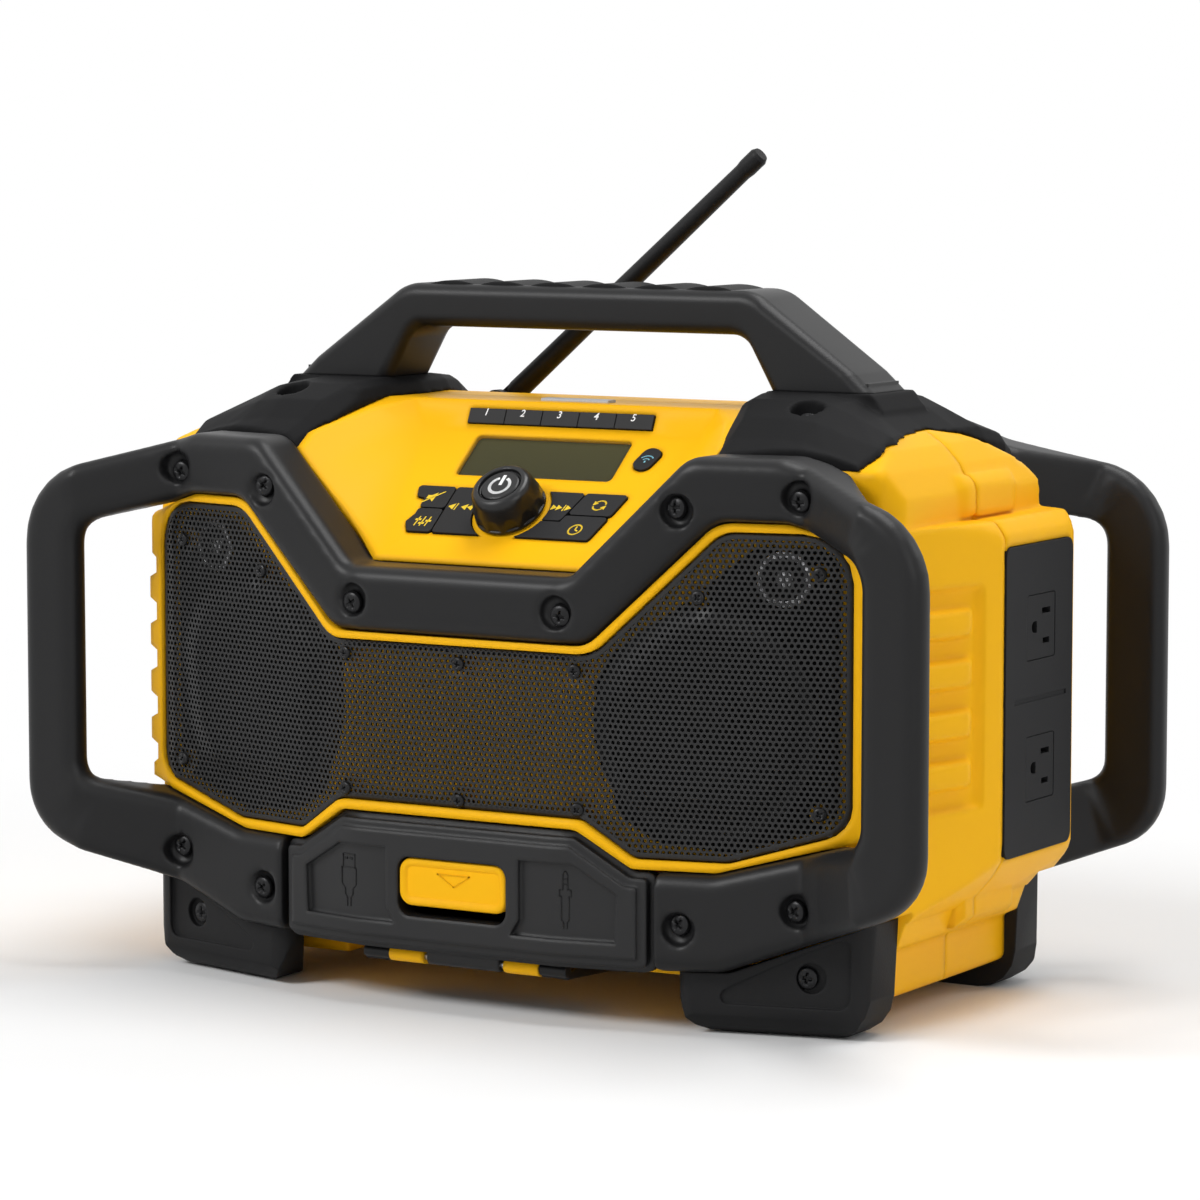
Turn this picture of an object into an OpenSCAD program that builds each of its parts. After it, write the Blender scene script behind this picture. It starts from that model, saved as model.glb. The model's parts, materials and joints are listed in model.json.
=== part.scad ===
// Jobsite radio and battery charger with a roll cage, in millimetres.
// Origin at the middle of the footprint on the ground, front towards -Y, +Z up.

/* [Overall] */
// Width over the outer faces of the side loops
overall_w = 444; // [440:1:448]
// Height of the top of the carry handle above the ground
handle_z = 304; // [298:1:310]
// Height of the top bar of each roll cage
cage_top_z = 240; // [238:1:242]
// Half width of the body at its widest tier
body_x = 200; // [196:1:202]
// Wall thickness of the moulded housings
wall = 3; // [2.5:0.1:3.5]

/* [Roll cage] */
// Depth of the cage bars, front to back
bar_depth = 28; // [26:1:29]
// Rounding of the bars' front edges
bar_round = 7; // [5:0.5:8]
// Distance of the cage's front face from the middle of the radio
cage_front = 118; // [117:0.5:119]

/* [Control panel] */
// Slope of the control panel above the horizontal
panel_slope = 39; // [38:0.5:40]
// Travel of the rubber-feel push buttons
button_travel = 1.2; // [0.8:0.1:1.4]
// Gap round each button and panel insert
button_gap = 0.4; // [0.35:0.05:0.5]
// Radius of the volume knob at its base
knob_r = 16; // [15:0.25:16.5]
// Height of the volume knob above the panel
knob_h = 15.7; // [14:0.1:17]

/* [Antenna] */
// Length of the antenna mast from its tilt pin
antenna_len = 174; // [150:1:180]
// Lean of the antenna to the right of vertical as it stands
antenna_lean = 49.5; // [46:0.5:52]

/* [Hidden] */
$fn = 40;

yellow = "#fdc01c";
black = "#3a3a3b";
seam = 0.5;              // visible gap between mouldings
slop = 0.3;              // gap round loose inserts
running = 0.05;          // radial clearance of a turning shaft
loop_x = overall_w / 2;
cage_back = cage_front - bar_depth;
sweep_x = 48;            // the front sweeps back from here out

// ---- outlines: [x, z, corner radius], right half, front view -------------------------------

// Outer rail of the cage, from the door round the side loop to the centre bar
cage_outer = [[92.6, 26, 0], [120, 27, 20], [156, 40.4, 0], [168, 44.9, 0], [loop_x - 28, 54.6, 0],
    [loop_x, 65, 28], [loop_x, cage_top_z - 22, 36], [loop_x - 28, cage_top_z - 13.9, 0],
    [168, cage_top_z - 6.4, 0], [156, cage_top_z - 2.9, 0], [146, cage_top_z, 10], [106, cage_top_z, 14], [54.5, 188.5, 8],
    [sweep_x, 188.5, 0]];
// Inner rail, corner for corner beside the outer rail
cage_inner = [[92.6, 68, 0], [118, 68, 15], [156, 78, 0], [168, 81.2, 0], [loop_x - 38, 85.4, 0],
    [loop_x - 28, 88, 10], [loop_x - 28, 200, 12], [loop_x - 38, 202.9, 0],
    [168, 207.6, 0], [156, 211.2, 0], [148, 213.5, 10], [117.6, 213.5, 16], [62.9, 160.5, 14], [sweep_x, 160.5, 0]];
grille_half = [[60, 87.5, 8], [82.5, 72.3, 8], [122, 72.3, 12], [173, 87.5, 14], [173, 209.5, 20],
    [118.8, 209.5, 16], [64.6, 157, 14]];
door_half = [[91.8, 25, 5], [91.8, 67, 4], [82.4, 67.2, 4], [58, 82.6, 8]];
body_half = [[163, 9.5, 0], [173, 14, 4], [173, 33, 2], [179, 36, 2], [184, 50, 2], [184, 222, 6],
    [178.5, 233, 6], [171, 241, 6], [162, 246.5, 6], [105, 254, 0]];

// ---- plan and side profiles ----------------------------------------------------------------

// Cage front face: distance ahead of the middle against distance from the centre line
cage_bow = [[0, cage_front], [48, cage_front], [156, cage_front - 19.7], [168, cage_front - 12.5],
    [loop_x - 28, cage_front + 5], [260, cage_front + 5]];
cage_rear_bow = [[0, cage_back], [48, cage_back], [156, cage_back - 19.7], [164, cage_back - 19.7],
    [loop_x - 31, cage_back + 19.5], [260, cage_back + 19.5]];
seat_bow = [[0, cage_back], [48, cage_back], [156, cage_back - 19.7], [260, cage_back - 19.7]];
lip_bow = [[0, 113.8], [57, 113.8], [165, 88.6], [175, 83.6], [260, 60]];
lobe_angle = atan((113.8 - 88.6) / (165 - 57));
// Top of the housings: [distance from the middle, height]
top_profile = [[0, 254], [25, 254], [40, 250], [75, 239], [90, 233], [130, 219]];
tier_z = [65, 210];      // bottom and top of the widest tier
// Arch of the domes outside the shoulders, from front to back
dome_profile = [[-78, 229], [-72, 233], [-50, 241.8], [-30, 245.6], [5, 246.3], [27, 243.5], [41, 238.9],
    [60, 229.5], [69, 220], [76, 210]];
flare_start = [180, 82];
flat_start = 3;          // the side is flat from here back
rear_flat = 70;          // and to here

panel_origin = [0, -84, 198];
lcd_size = [78, 25];
lcd_s = 52.8;            // distance of the display's middle up the panel
knob_s = 19.5;

function flip(p) = [for (i = [len(p) - 1:-1:0]) [-p[i].x, p[i].y, p[i].z]];
function unit(v) = v / norm(v);

// A corner b between a and c, rounded by radius r, as steps + 1 points on the arc
function corner(a, b, c, r, steps) =
    r == 0 ? [[b.x, b.y]] :
    let (u = unit([a.x - b.x, a.y - b.y]), v = unit([c.x - b.x, c.y - b.y]),
         half = acos(u * v) / 2, middle = [b.x, b.y] + unit(u + v) * r / sin(half),
         from = [b.x, b.y] + u * r / tan(half) - middle,
         to = [b.x, b.y] + v * r / tan(half) - middle,
         start = atan2(from.y, from.x), turn = (atan2(to.y, to.x) - start + 540) % 360 - 180)
    [for (i = [0:steps]) middle + r * [cos(start + turn * i / steps), sin(start + turn * i / steps)]];

// Closed outline with rounded corners
function rounded(p, steps = 4) = let (n = len(p))
    [for (i = [0:n - 1]) each corner(p[(i + n - 1) % n], p[i], p[(i + 1) % n], p[i].z, steps)];

// Open rail with rounded corners between its two plain ends
function rail(p, steps = 4) = let (n = len(p))
    [for (i = [0:n - 1]) each i == 0 || i == n - 1 ? [[p[i].x, p[i].y]] :
        corner(p[i - 1], p[i], p[i + 1], p[i].z, steps)];

module along_x(x0, x1) translate([x0, 0, 0]) rotate([90, 0, 90]) linear_extrude(x1 - x0) children();
module along_y(y0, y1) translate([0, y1, 0]) rotate([90, 0, 0]) linear_extrude(y1 - y0) children();
module along_z(z0, z1) translate([0, 0, z0]) linear_extrude(z1 - z0) children();
module both() for (side = [-1, 1]) mirror([side < 0 ? 1 : 0, 0, 0]) children();
module one_side(side) mirror([side < 0 ? 1 : 0, 0, 0]) children();
module block(low, high) translate(low) cube(high - low);

// Solid through a row of rings that all have the same number of points
module loft(rings) {
    n = len(rings[0]);
    last = len(rings) - 1;
    polyhedron(
        points = [for (ring = rings) each ring],
        faces = concat(
            [[for (i = [n - 1:-1:0]) i]],
            [[for (i = [0:n - 1]) last * n + i]],
            [for (r = [0:last - 1], i = [0:n - 1]) each
                let (a = r * n + i, b = r * n + (i + 1) % n)
                [[a, b, b + n], [a, b + n, a + n]]]));
}

// Section of a bar between an outer and an inner rail point, with rounded front edges.
// near and far give the bar's front and back against |x|; side is 1 at the back cage.
edge_steps = 5;
function quarter(r) = [for (i = [0:edge_steps]) let (a = 90 * i / edge_steps) r * [1 - cos(a), 1 - sin(a)]];
function bar_section(o, i, near, far, side, front_round, back_round) =
    let (way = unit(i - o), width = norm(i - o), edge = quarter(front_round),
         marks = concat([for (e = edge) [e.x, e.y, 0]],
             [for (k = [edge_steps:-1:0]) [width - edge[k].x, edge[k].y, 0]],
             [[width, -back_round, 1], [width - back_round, 0, 1], [back_round, 0, 1], [0, -back_round, 1]]))
    [for (m = marks) let (at = o + way * m.x,
        depth = m.z == 0 ? lookup(abs(at.x), near) - m.y : lookup(abs(at.x), far) - m.y)
        [at.x, side * depth, at.y]];

// ---- roll cages, handle, shoulders and feet -------------------------------------------------

cage_screw_spots = [[102.8, 217.7], [154.5, 224.6], [50.3, 173.9], [154.3, 55.4], [103.7, 44.8]];
screw_head_r = 4.8;
screw_head_h = 2.4;
screw_recess_r = 7;
screw_recess = 4.6;      // depth of the screw heads below the face

// Places children at each cage screw of one cage, +Z towards the viewer of that side
module at_cage_screws(side) for (flipped = [-1, 1], spot = cage_screw_spots)
    translate([flipped * spot.x, side * (lookup(spot.x, cage_bow) - screw_recess), spot.y])
        rotate([side < 0 ? 90 : -90, 0, 0]) children();

// One whole cage: a bar that runs from one side of the door round to the other
module cage(side) {
    outer = rail(concat(cage_outer, flip(cage_outer)), 6);
    inner = rail(concat(cage_inner, flip(cage_inner)), 6);
    rings = [for (k = [0:len(outer) - 1])
        bar_section(outer[k], inner[k], cage_bow, cage_rear_bow, side, bar_round, 3)];
    color(black) difference() {
        loft(side < 0 ? rings : [for (k = [len(rings) - 1:-1:0]) rings[k]]);
        at_cage_screws(side) {
            cylinder(r = screw_recess_r, h = 20);
            translate([0, 0, -40]) cylinder(r = 2.2, h = 60);
        }
    }
}
module front_cage() cage(-1);
module rear_cage() union() {
    cage(1);
    color(black) difference() {
        intersection() {
            along_y(60, 120) polygon(rounded(concat([[93, 30, 3], [93, 60, 3]], flip([[93, 30, 3], [93, 60, 3]]))));
            along_z(0, 90) let (half = [for (x = [sweep_x, 93]) [x, lookup(x, seat_bow)]], far = [for (q = half) q + [0, 13]])
                polygon(concat(half, [far[1], far[0]], mirror_x(concat(half, [far[1], far[0]]))));
        }
        for (x = [-60:24:60]) block([x - 8, 60, 39], [x + 8, 120, 51]);
    }
}

handle_outer = [[158, 250, 0], [136, 270, 14], [88, handle_z, 20]];
handle_inner = [[102, 250, 0], [96.5, 262, 4], [84, handle_z - 19, 12]];
handle_half_depth = 19;
face_points = 2 * edge_steps + 2;   // points of a bar's section on its front face
leg_seat_z = 262;        // the legs stand on the shoulders here
tenon = [[108, -14], [142, 14]];

module carry_handle() {
    outer = rail(concat(handle_outer, flip(handle_outer)), 6);
    inner = rail(concat(handle_inner, flip(handle_inner)), 6);
    depth = [[0, handle_half_depth], [300, handle_half_depth]];
    rings = [for (k = [0:len(outer) - 1]) let (
        front = bar_section(outer[k], inner[k], depth, depth, -1, 6, 6))
        concat([for (j = [0:face_points - 1]) front[j]],
            [for (j = [face_points - 1:-1:0]) [front[j].x, -front[j].y, front[j].z]])];
    color(black) difference() {
        union() {
            intersection() {
                loft(rings);
                block([-200, -30, leg_seat_z], [200, 30, handle_z + 1]);
            }
            both() block([tenon[0].x, tenon[0].y, leg_seat_z - 8], [tenon[1].x, tenon[1].y, leg_seat_z + 4]);
        }
        grip_bed(0);
    }
}

// Shallow bed along the top of the handle that the grip fills
module grip_bed(gap) block([-78 + gap, -14 + gap, handle_z - 3], [78 - gap, 14 - gap, handle_z + 5]);
module handle_grip() color("#2c2c2d") {
    intersection() {
        grip_bed(0);
        block([-90, -20, handle_z - 4], [90, 20, handle_z - 1.2]);
    }
    for (i = [-2.5:2.5]) intersection() {
        translate([i * 26, 0, handle_z - 40]) rotate([90, 0, 0]) cylinder(r = 41.4, h = 28, center = true, $fn = 96);
        block([i * 26 - 12.4, -14, handle_z - 2], [i * 26 + 12.4, 14, handle_z + 2]);
    }
}

// Sections of a shoulder cap across X: [distance from the middle, top z, inner x, outer x, fall of
// the top towards the outer edge]
shoulder_rows = [[0, leg_seat_z - 0.4, 88.6, 165.6, 17], [24, leg_seat_z - 0.4, 90.5, 167.5, 17], [40, 260, 94, 170, 15],
    [56, 253.5, 98, 172, 12], [68, 245.5, 100.5, 169, 9], [79, 239.5, 103.5, 166, 5.5]];
shoulder_hole = [129.4, 44.2];
shoulder_low = 205;

module shoulder(side) one_side(side) color(black) {
    last = len(shoulder_rows) - 1;
    rows = concat([for (i = [last:-1:0]) shoulder_rows[i]], [for (i = [1:last]) let (r = shoulder_rows[i]) [-r.x, r.y, r.z, r[3], r[4]]]);
    difference() {
        union() {
          // pad that the handle's leg stands on
          along_y(-handle_half_depth - 1, handle_half_depth + 1) polygon([[97, 250], [97, leg_seat_z], [146.5, leg_seat_z], [152, 255], [152, 250]]);
          intersection() {
            loft([for (r = rows) let (y = r.x, top = r.y, low = r.z, out = r[3], fall = r[4])
                [[low, y, shoulder_low], [low, y, top - 7], [low + 2.4, y, top - 2.4], [low + 7, y, top],
                 [128, y, top], [140, y, top - 0.12 * fall], [150, y, top - 0.41 * fall],
                 [out - 3, y, top - 0.93 * fall], [out, y, top - 1.3 * fall], [out, y, shoulder_low]]]);
            along_z(200, 270) let (p = [for (x = [60, 156, 190]) [x, lookup(x, seat_bow) - slop]])
                polygon(concat(mirror_y(p), p));
          }
        }
        housing_block(0);
        side_tier(0);
        lobes(0, 1);
        panel_valley(0);
        for (end = [-1, 1]) at_cage_screws(end) translate([0, 0, -40]) cylinder(r = 2.2, h = 60);
        for (end = [-1, 1]) translate([shoulder_hole.x, end * shoulder_hole.y, 0]) {
            translate([0, 0, 252]) cylinder(r = 7, h = 20);
            translate([0, 0, 200]) cylinder(r = 2.2, h = 80);
        }
        block([tenon[0].x - 0.2, tenon[0].y - 0.2, leg_seat_z - 8], [tenon[1].x + 0.2, tenon[1].y + 0.2, leg_seat_z + 1]);
    }
}
module shoulder_left() shoulder(-1);
module shoulder_right() shoulder(1);

foot_turn = 14;          // the feet follow the sweep of the front
foot_screw_z = 25.8;
foot_seat_y = 57;        // the feet back onto the body here
foot_inner = 93;         // and sideways here

// Top line of a foot, tucked under the sweep of the cage; gap is the room left above it
module foot_side_view(gap) polygon([[foot_inner - gap, -5], [240, -5], [240, 72.6], [121.4, 26.4 + gap], [foot_inner - gap, 25.4 + gap]]);

// A foot is drawn in its own turned frame, at the middle of its front face
module front_or_back(front) mirror([0, front ? 0 : 1, 0]) children();
module in_foot_frame(front) front_or_back(front) translate([155, -87, 0]) rotate([0, 0, foot_turn]) children();
module foot(side, front) one_side(side) color(black) difference() {
    intersection() {
        front_or_back(front) along_z(0, 60)
            polygon(rounded([[181, -foot_seat_y, 0], [119, -foot_seat_y, 0], [97, -86, 6], [95, -101, 8], [181, -80.5, 12]]));
        front_or_back(front) along_y(-130, -foot_seat_y)
            polygon(rounded([[104, 0, 16], [177.5, 0, 18], [180.5, 60, 0], [95, 60, 0], [95, 26, 6]]));
        in_foot_frame(front) along_x(-90, 60) polygon(rounded([[0, 0, 13], [80, 0, 0], [80, 70, 0], [0, 70, 0]]));
        front_or_back(front) along_y(-130, -40) foot_side_view(0);
    }
    in_foot_frame(front) {
        // shallow field on the front face
        along_y(-5, 1.8) polygon(rounded([[-46, 13.5, 3], [17, 13.5, 5], [17, 44, 3], [-3, 36, 2], [-34, 21, 3]]));
        translate([0, 4.4, foot_screw_z]) rotate([90, 0, 0]) cylinder(r = screw_recess_r - 0.6, h = 20);
        translate([0, 50, foot_screw_z]) rotate([90, 0, 0]) cylinder(r = 2.2, h = 60);
    }
}
module front_foot_left() foot(-1, true);
module front_foot_right() foot(1, true);
module rear_foot_left() foot(-1, false);
module rear_foot_right() foot(1, false);

// ---- screws ----------------------------------------------------------------------------------

// Pan-head screw: seat at z = 0, head above, shank below
module pan_screw(head_r, head_h, shank_r, shank_l) difference() {
    union() {
        cylinder(r1 = head_r, r2 = head_r * 0.82, h = head_h);
        translate([0, 0, -shank_l]) cylinder(r = shank_r, h = shank_l + 0.1);
    }
    for (turn = [0, 90]) rotate(turn) translate([0, 0, head_h]) cube([head_r * 1.05, head_r * 0.28, 2.4], center = true);
}
module cage_screws() color("#555659") for (side = [-1, 1]) at_cage_screws(side) pan_screw(screw_head_r, screw_head_h, 2, 26);
module foot_screws() color("#555659") for (side = [-1, 1], front = [true, false])
    one_side(side) in_foot_frame(front) translate([0, 4.4, foot_screw_z]) rotate([90, 0, 0])
        pan_screw(screw_head_r, screw_head_h, 2, 32);
module shoulder_screws() color("#555659") for (side = [-1, 1], end = [-1, 1])
    translate([side * shoulder_hole.x, end * shoulder_hole.y, 252]) pan_screw(screw_head_r, screw_head_h, 2, 18);

grille_screw_spots = [[158.2, 193], [108.6, 181], [158.7, 94.1], [57.3, 150.4], [57.3, 92.5]];
grille_y = 2.3;          // the grille lies this far behind the lip
grille_t = 1.6;
recess_floor = 8;        // floor of the grille recess behind the lip
function lip_y(x) = -lookup(abs(x), lip_bow);

// Places children on the grille's front face at each screw, +Z out of the face
module at_grille_screws() {
    for (flipped = [-1, 1], spot = grille_screw_spots)
        translate([flipped * spot.x, lip_y(spot.x) + grille_y, spot.y])
            rotate([90, 0, flipped * lobe_angle]) children();
    for (z = [150.3, 92.2]) translate([0, lip_y(0) + grille_y, z]) rotate([90, 0, 0]) children();
}
// Screw bosses in the grille recess, clear of the grille's rim
module grille_bosses() intersection() {
    at_grille_screws() translate([0, 0, -recess_floor - 4]) cylinder(r = 4, h = recess_floor + 4 - grille_t);
    along_y(-130, -60) offset(delta = -2.2) grille_outline();
}
module grille_screws() color("#262627") at_grille_screws() pan_screw(3, 1.4, 1.2, 9);

// ---- the housings ----------------------------------------------------------------------------

function front_of(bow, inset, xs) = [for (x = xs) [x, -lookup(x, bow) + inset]];
function mirror_x(p) = [for (i = [len(p) - 1:-1:0]) [-p[i].x, p[i].y]];
function mirror_y(p) = [for (i = [len(p) - 1:-1:0]) [p[i].x, -p[i].y]];

underside_z = 22;        // height of the underside at the door
side_in = 4.5;           // extra thickness of the side walls behind the ribs
// The full body without its speaker lobes, inset by t all round
module housing_block(t) difference() {
    intersection() {
        along_y(-95, 95) offset(delta = -t) polygon(rounded(concat(body_half, flip(body_half)), 3));
        along_z(0, 260) let (tx = t > 0 ? t + side_in : 0,
            half = [[48, t - cage_back], [156, t - cage_back + 19.7], [177 - tx, t - cage_back + 19.7],
                [184 - tx, -62], [184 - tx, 66], [178 - tx, 73 - t], [156, cage_back - 19.7 - t], [48, cage_back - t]])
            polygon(concat(half, mirror_x(half)));
        along_x(-200, 200) let (top = [for (i = [1:len(top_profile) - 1]) [top_profile[i].x, top_profile[i].y - t]])
            polygon(concat([[-130, 0], [130, 0]], [for (i = [len(top) - 1:-1:0]) top[i]], [for (q = top) [-q.x, q.y]]));
    }
    // the arch of the domes
    both() along_x(103 - t, 210) polygon(concat([[-130, 270], [-130, 211]], [for (q = dome_profile) [q.x, q.y - t]], [[130, 150], [130, 270]]));
    // the underside rises between the feet, gently to the front and in a short step at the back
    along_x(-foot_inner - t, foot_inner + t) {
        polygon([[-130, 0], [6, 0], [6, 9.5 + t], [-91, underside_z + t], [-130, underside_z + t]]);
        polygon([[130, 0], [68 - t, 0], [68 - t, 9.5 + t], [84, underside_z + t], [130, underside_z + t]]);
    }
}

// The widest tier of the body, from the flared front to the flat side
module side_tier(t) intersection() {
    along_z(46 + t, tier_z[1] - t) let (
        tx = t > 0 ? t + side_in : 0, seat = t - cage_back + 19.7,
        right = [[48, t - cage_back], [156, seat], [183 - tx, seat], [body_x - tx, -flat_start],
            [body_x - tx, rear_flat - 4], [body_x - 3 - tx, rear_flat - t], [174 - t, 76 - t],
            [156, cage_back - 19.7 - t], [48, cage_back - t]])
        polygon(concat(right, mirror_x(right)));
    along_y(-100, 100) offset(delta = -t) let (half = [[184, 47], [body_x - 5, 59.5], [body_x, 67], [body_x, tier_z[1] - 6], [body_x - 5, tier_z[1]]])
        polygon(concat(half, mirror_x(half)));
}
// Soft-edged pads on the domes and under the widest tier
module side_pads() both() for (z = [[211, 229], [38, 62]]) difference() {
    block([176, -12, z[0]], [186.5, 40, z[1]]);
    for (y = [-12, 40]) translate([186.5, y, 0]) rotate(45) block([-2.2, -2.2, 0], [2.2, 2.2, 300]);
    translate([186.5, 0, z[0] > 100 ? z[1] : z[0]]) rotate([0, 45, 0]) block([-3, -20, -3], [3, 50, 3]);
}

// The bow-tie shaped front that stands in the cage's window, ahead of the seat
module window_outline(gap) offset(delta = -gap) polygon(rounded(concat(cage_inner_closed, flip(cage_inner_closed)), 4));
cage_inner_closed = [[58, 83.2, 8], [82, 68, 5], [118, 68, 15], [loop_x - 30, 88, 10], [loop_x - 30, 200, 12],
    [148, 213.5, 15], [117.6, 213.5, 16], [62.9, 160.5, 14]];
module lobes(t, side) intersection() {
    along_y(-130, 130) window_outline(seam + t);
    let (tx = t > 0 ? t + side_in : 0, behind = side < 0 ? recess_floor + 2 : 0,
         front = concat(front_of(lip_bow, t == 0 ? 0 : t + behind, [57, 165 - tx, 175 - tx]),
            [[flare_start.x - tx, -flare_start.y + t], [body_x - 10.5 - tx, -44], [130, -20]]),
         half = side < 0 ? front : mirror_y(front))
        along_z(0, 260) polygon(concat(half, mirror_x(half)));
}

// Valley of the control panel, in the panel's own frame: local y runs up the slope
module on_panel() translate(panel_origin) rotate([panel_slope, 0, 0]) children();
module panel_valley(t) on_panel() hull() {
    translate([0, 0, -t]) linear_extrude(1) polygon([[-50 - t, -34], [50 + t, -34], [70 + t, 67.7], [-70 - t, 67.7]]);
    translate([0, 0, 40]) linear_extrude(1) polygon([[-118 - t, -34], [118 + t, -34], [128 + t, 67.7], [110, 146],
        [-110, 146], [-128 - t, 67.7]]);
}
// Yellow lip above the centre bar of the cage, between the arms of the V
module panel_lip(t) along_y(-96.5 + t, -80) polygon([[-53.6 + t, 189 + t], [53.6 - t, 189 + t], [92 - t, 227], [-92 + t, 227]]);
// Sunken deck behind the handle, where the antenna stands
deck_z = 242;
module rear_deck(t) block([-93 - t, 27 - t, deck_z - t], [93 + t, 140, 270]);

module body_shape(t) {
    difference() {
        union() {
            housing_block(t);
            side_tier(t);
            lobes(t, -1);
            lobes(t, 1);
            panel_lip(t);
            if (t == 0) side_pads();
        }
        panel_valley(t);
        rear_deck(t);
        if (t == 0) rib_field();
    }
    if (t == 0) ribs();
}

// Ribs on the flared sides, in a sunk field. In the flare's frame +X points out of the side and +Y runs
// along it to the back
rib_pitch = 21;
rib_base = 13.6;
rib_crest = 9.2;
rib_mid_z = 137.8;
rib_depth = 2.6;         // depth of the field
rib_proud = 1.7;         // the crests stand this far out of the side
rib_front = -40.7;
rib_back = 31;
field_half = 47;         // half the field's height
flare_tilt = 14.1;
module on_flare() both() translate([body_x - 10.4, -44, 0]) rotate(-flare_tilt) children();
module rib_field() on_flare() intersection() {
    along_z(0, 260) polygon([[-rib_depth, -60], [12, -60], [12, rib_back], [0, rib_back], [-rib_depth, rib_back - 4]]);
    along_y(-60, 60) translate([0, rib_mid_z]) polygon([[-rib_depth, 2 - field_half], [0, -field_half], [12, -field_half],
        [12, field_half], [0, field_half], [-rib_depth, field_half - 2]]);
}
module ribs() on_flare() for (i = [-1.5:1.5]) translate([0, 0, rib_mid_z + i * rib_pitch]) intersection() {
    along_z(-20, 20) polygon([[-rib_depth - 1, rib_front], [-rib_depth, rib_front], [rib_proud, rib_front + 3],
        [rib_proud, rib_back - 10], [-rib_depth, rib_back - 5], [-rib_depth - 1, rib_back - 5]]);
    along_y(-60, 60) polygon([[-rib_depth - 1, -rib_base / 2], [-rib_depth, -rib_base / 2], [rib_proud, -rib_crest / 2],
        [rib_proud, rib_crest / 2], [-rib_depth, rib_base / 2], [-rib_depth - 1, rib_base / 2]]);
}

woofer_spot = [110, 128];
woofer_r = 48;
tweeter_spot = [142, 190];
tweeter_r = 11.5;
// Frame of a speaker on the baffle: +Z points out of the front
module on_baffle(side, spot) translate([side * spot.x, lip_y(spot.x) + recess_floor, spot.y])
    rotate([90, 0, side * lobe_angle]) children();

bay = [[-70, 33], [70, 72]];   // opening of the storage bay, x and z
bay_back = -44;
door_seat_gap = 20.5;          // the door's back lies this far behind the cage face

// Room for the door ahead of the bay, and for the sill below it
module door_space() along_z(-5, 83) let (
    face = [[48, -cage_front + door_seat_gap], [92.6, -lookup(92.6, cage_bow) + door_seat_gap], [92.6, -140]])
    polygon(concat(face, mirror_x(face)));
module door_recess() intersection() {
    door_space();
    along_y(-130, -60) let (half = [[92.6, -5], [92.6, 67.6], [82.3, 67.6], [58.2, 83]]) polygon(concat(half, mirror_x(half)));
}

module panel_cutouts() on_panel() {
    translate([0, lcd_s, -6]) linear_extrude(10) offset(delta = slop) display_outline();
    // one cut-out for each group of pads, with no slivers left between them
    translate([0, 0, -8]) linear_extrude(14) offset(delta = -1) offset(delta = button_gap + 1)
        for (name = ["mute", "tone", "previous", "next", "mode", "clock", "pairing"]) button_face(name);
    translate([0, knob_s, -8]) cylinder(r = 3.6, h = 14);
}

module front_housing() color(yellow) difference() {
    union() {
        difference() {
            intersection() {
                body_shape(0);
                block([-240, -140, -10], [240, 0, 300]);
            }
            body_shape(wall);
            door_recess();
        }
        bay_frame();
        // walls behind the feet
        intersection() {
            body_shape(0);
            foot_pockets(true, wall);
        }
        grille_bosses();
    }
    difference() {
        intersection() {
            along_y(-130, -60) grille_outline();
            let (half = front_of(lip_bow, recess_floor, [57, 165, 175]))
                along_z(60, 220) polygon(concat(half, [[175, -140]], mirror_x(concat(half, [[175, -140]]))));
        }
        grille_bosses();
    }
    grille_sheet(-1, grille_y + grille_t, 0);
    at_grille_screws() translate([0, 0, -12]) cylinder(r = 1.2, h = 30);
    for (side = [-1, 1]) {
        on_baffle(side, woofer_spot) translate([0, 0, -14]) cylinder(r = woofer_r - 3, h = 30);
        on_baffle(side, tweeter_spot) translate([0, 0, -14]) cylinder(r = tweeter_r - 2.5, h = 30);
    }
    outlet_recess();
    panel_cutouts();
    preset_cutout();
    status_cutout();
    block([bay[0].x, -98, bay[0].y], [bay[1].x, bay_back - 10, bay[1].y]);
    at_cage_screws(-1) translate([0, 0, -30]) cylinder(r = 2, h = 40);
    for (side = [-1, 1]) one_side(side) {
        in_foot_frame(true) translate([0, 50, foot_screw_z]) rotate([90, 0, 0]) cylinder(r = 2, h = 60);
        translate([shoulder_hole.x, -shoulder_hole.y, 200]) cylinder(r = 2, h = 80);
    }
    foot_pockets(true);
}

// Space that the feet take from the corners of the body, grown by t
module foot_pockets(front, t = 0) front_or_back(front) both()
    along_y(-140, -foot_seat_y + t) foot_side_view(t + seam);

// Walls round the storage bay opening that carry the liner
module bay_frame() difference() {
    block([bay[0].x - wall, -97.5, bay[0].y - wall], [bay[1].x + wall, bay_back - 12, bay[1].y + wall]);
    door_recess();
}

module grille_outline() polygon(rounded(concat(grille_half, flip(grille_half))));

module rear_housing() color(yellow) { rear_shell(); cover_pins(); }
module rear_shell() difference() {
    union() {
        difference() {
            intersection() {
                body_shape(0);
                block([-240, 0, -10], [240, 140, 300]);
            }
            body_shape(wall);
        }
        intersection() {
            body_shape(0);
            foot_pockets(false, wall);
        }
    }
    outlet_recess();
    receptacle_opening();
    at_cage_screws(1) translate([0, 0, -30]) cylinder(r = 2, h = 40);
    for (side = [-1, 1]) one_side(side) {
        in_foot_frame(false) translate([0, 50, foot_screw_z]) rotate([90, 0, 0]) cylinder(r = 2, h = 60);
        translate([shoulder_hole.x, shoulder_hole.y, 200]) cylinder(r = 2, h = 80);
    }
    foot_pockets(false);
    battery_opening();
    inlet_opening();
    antenna_opening();
    rear_vents();
}

// ---- speakers --------------------------------------------------------------------------------

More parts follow.
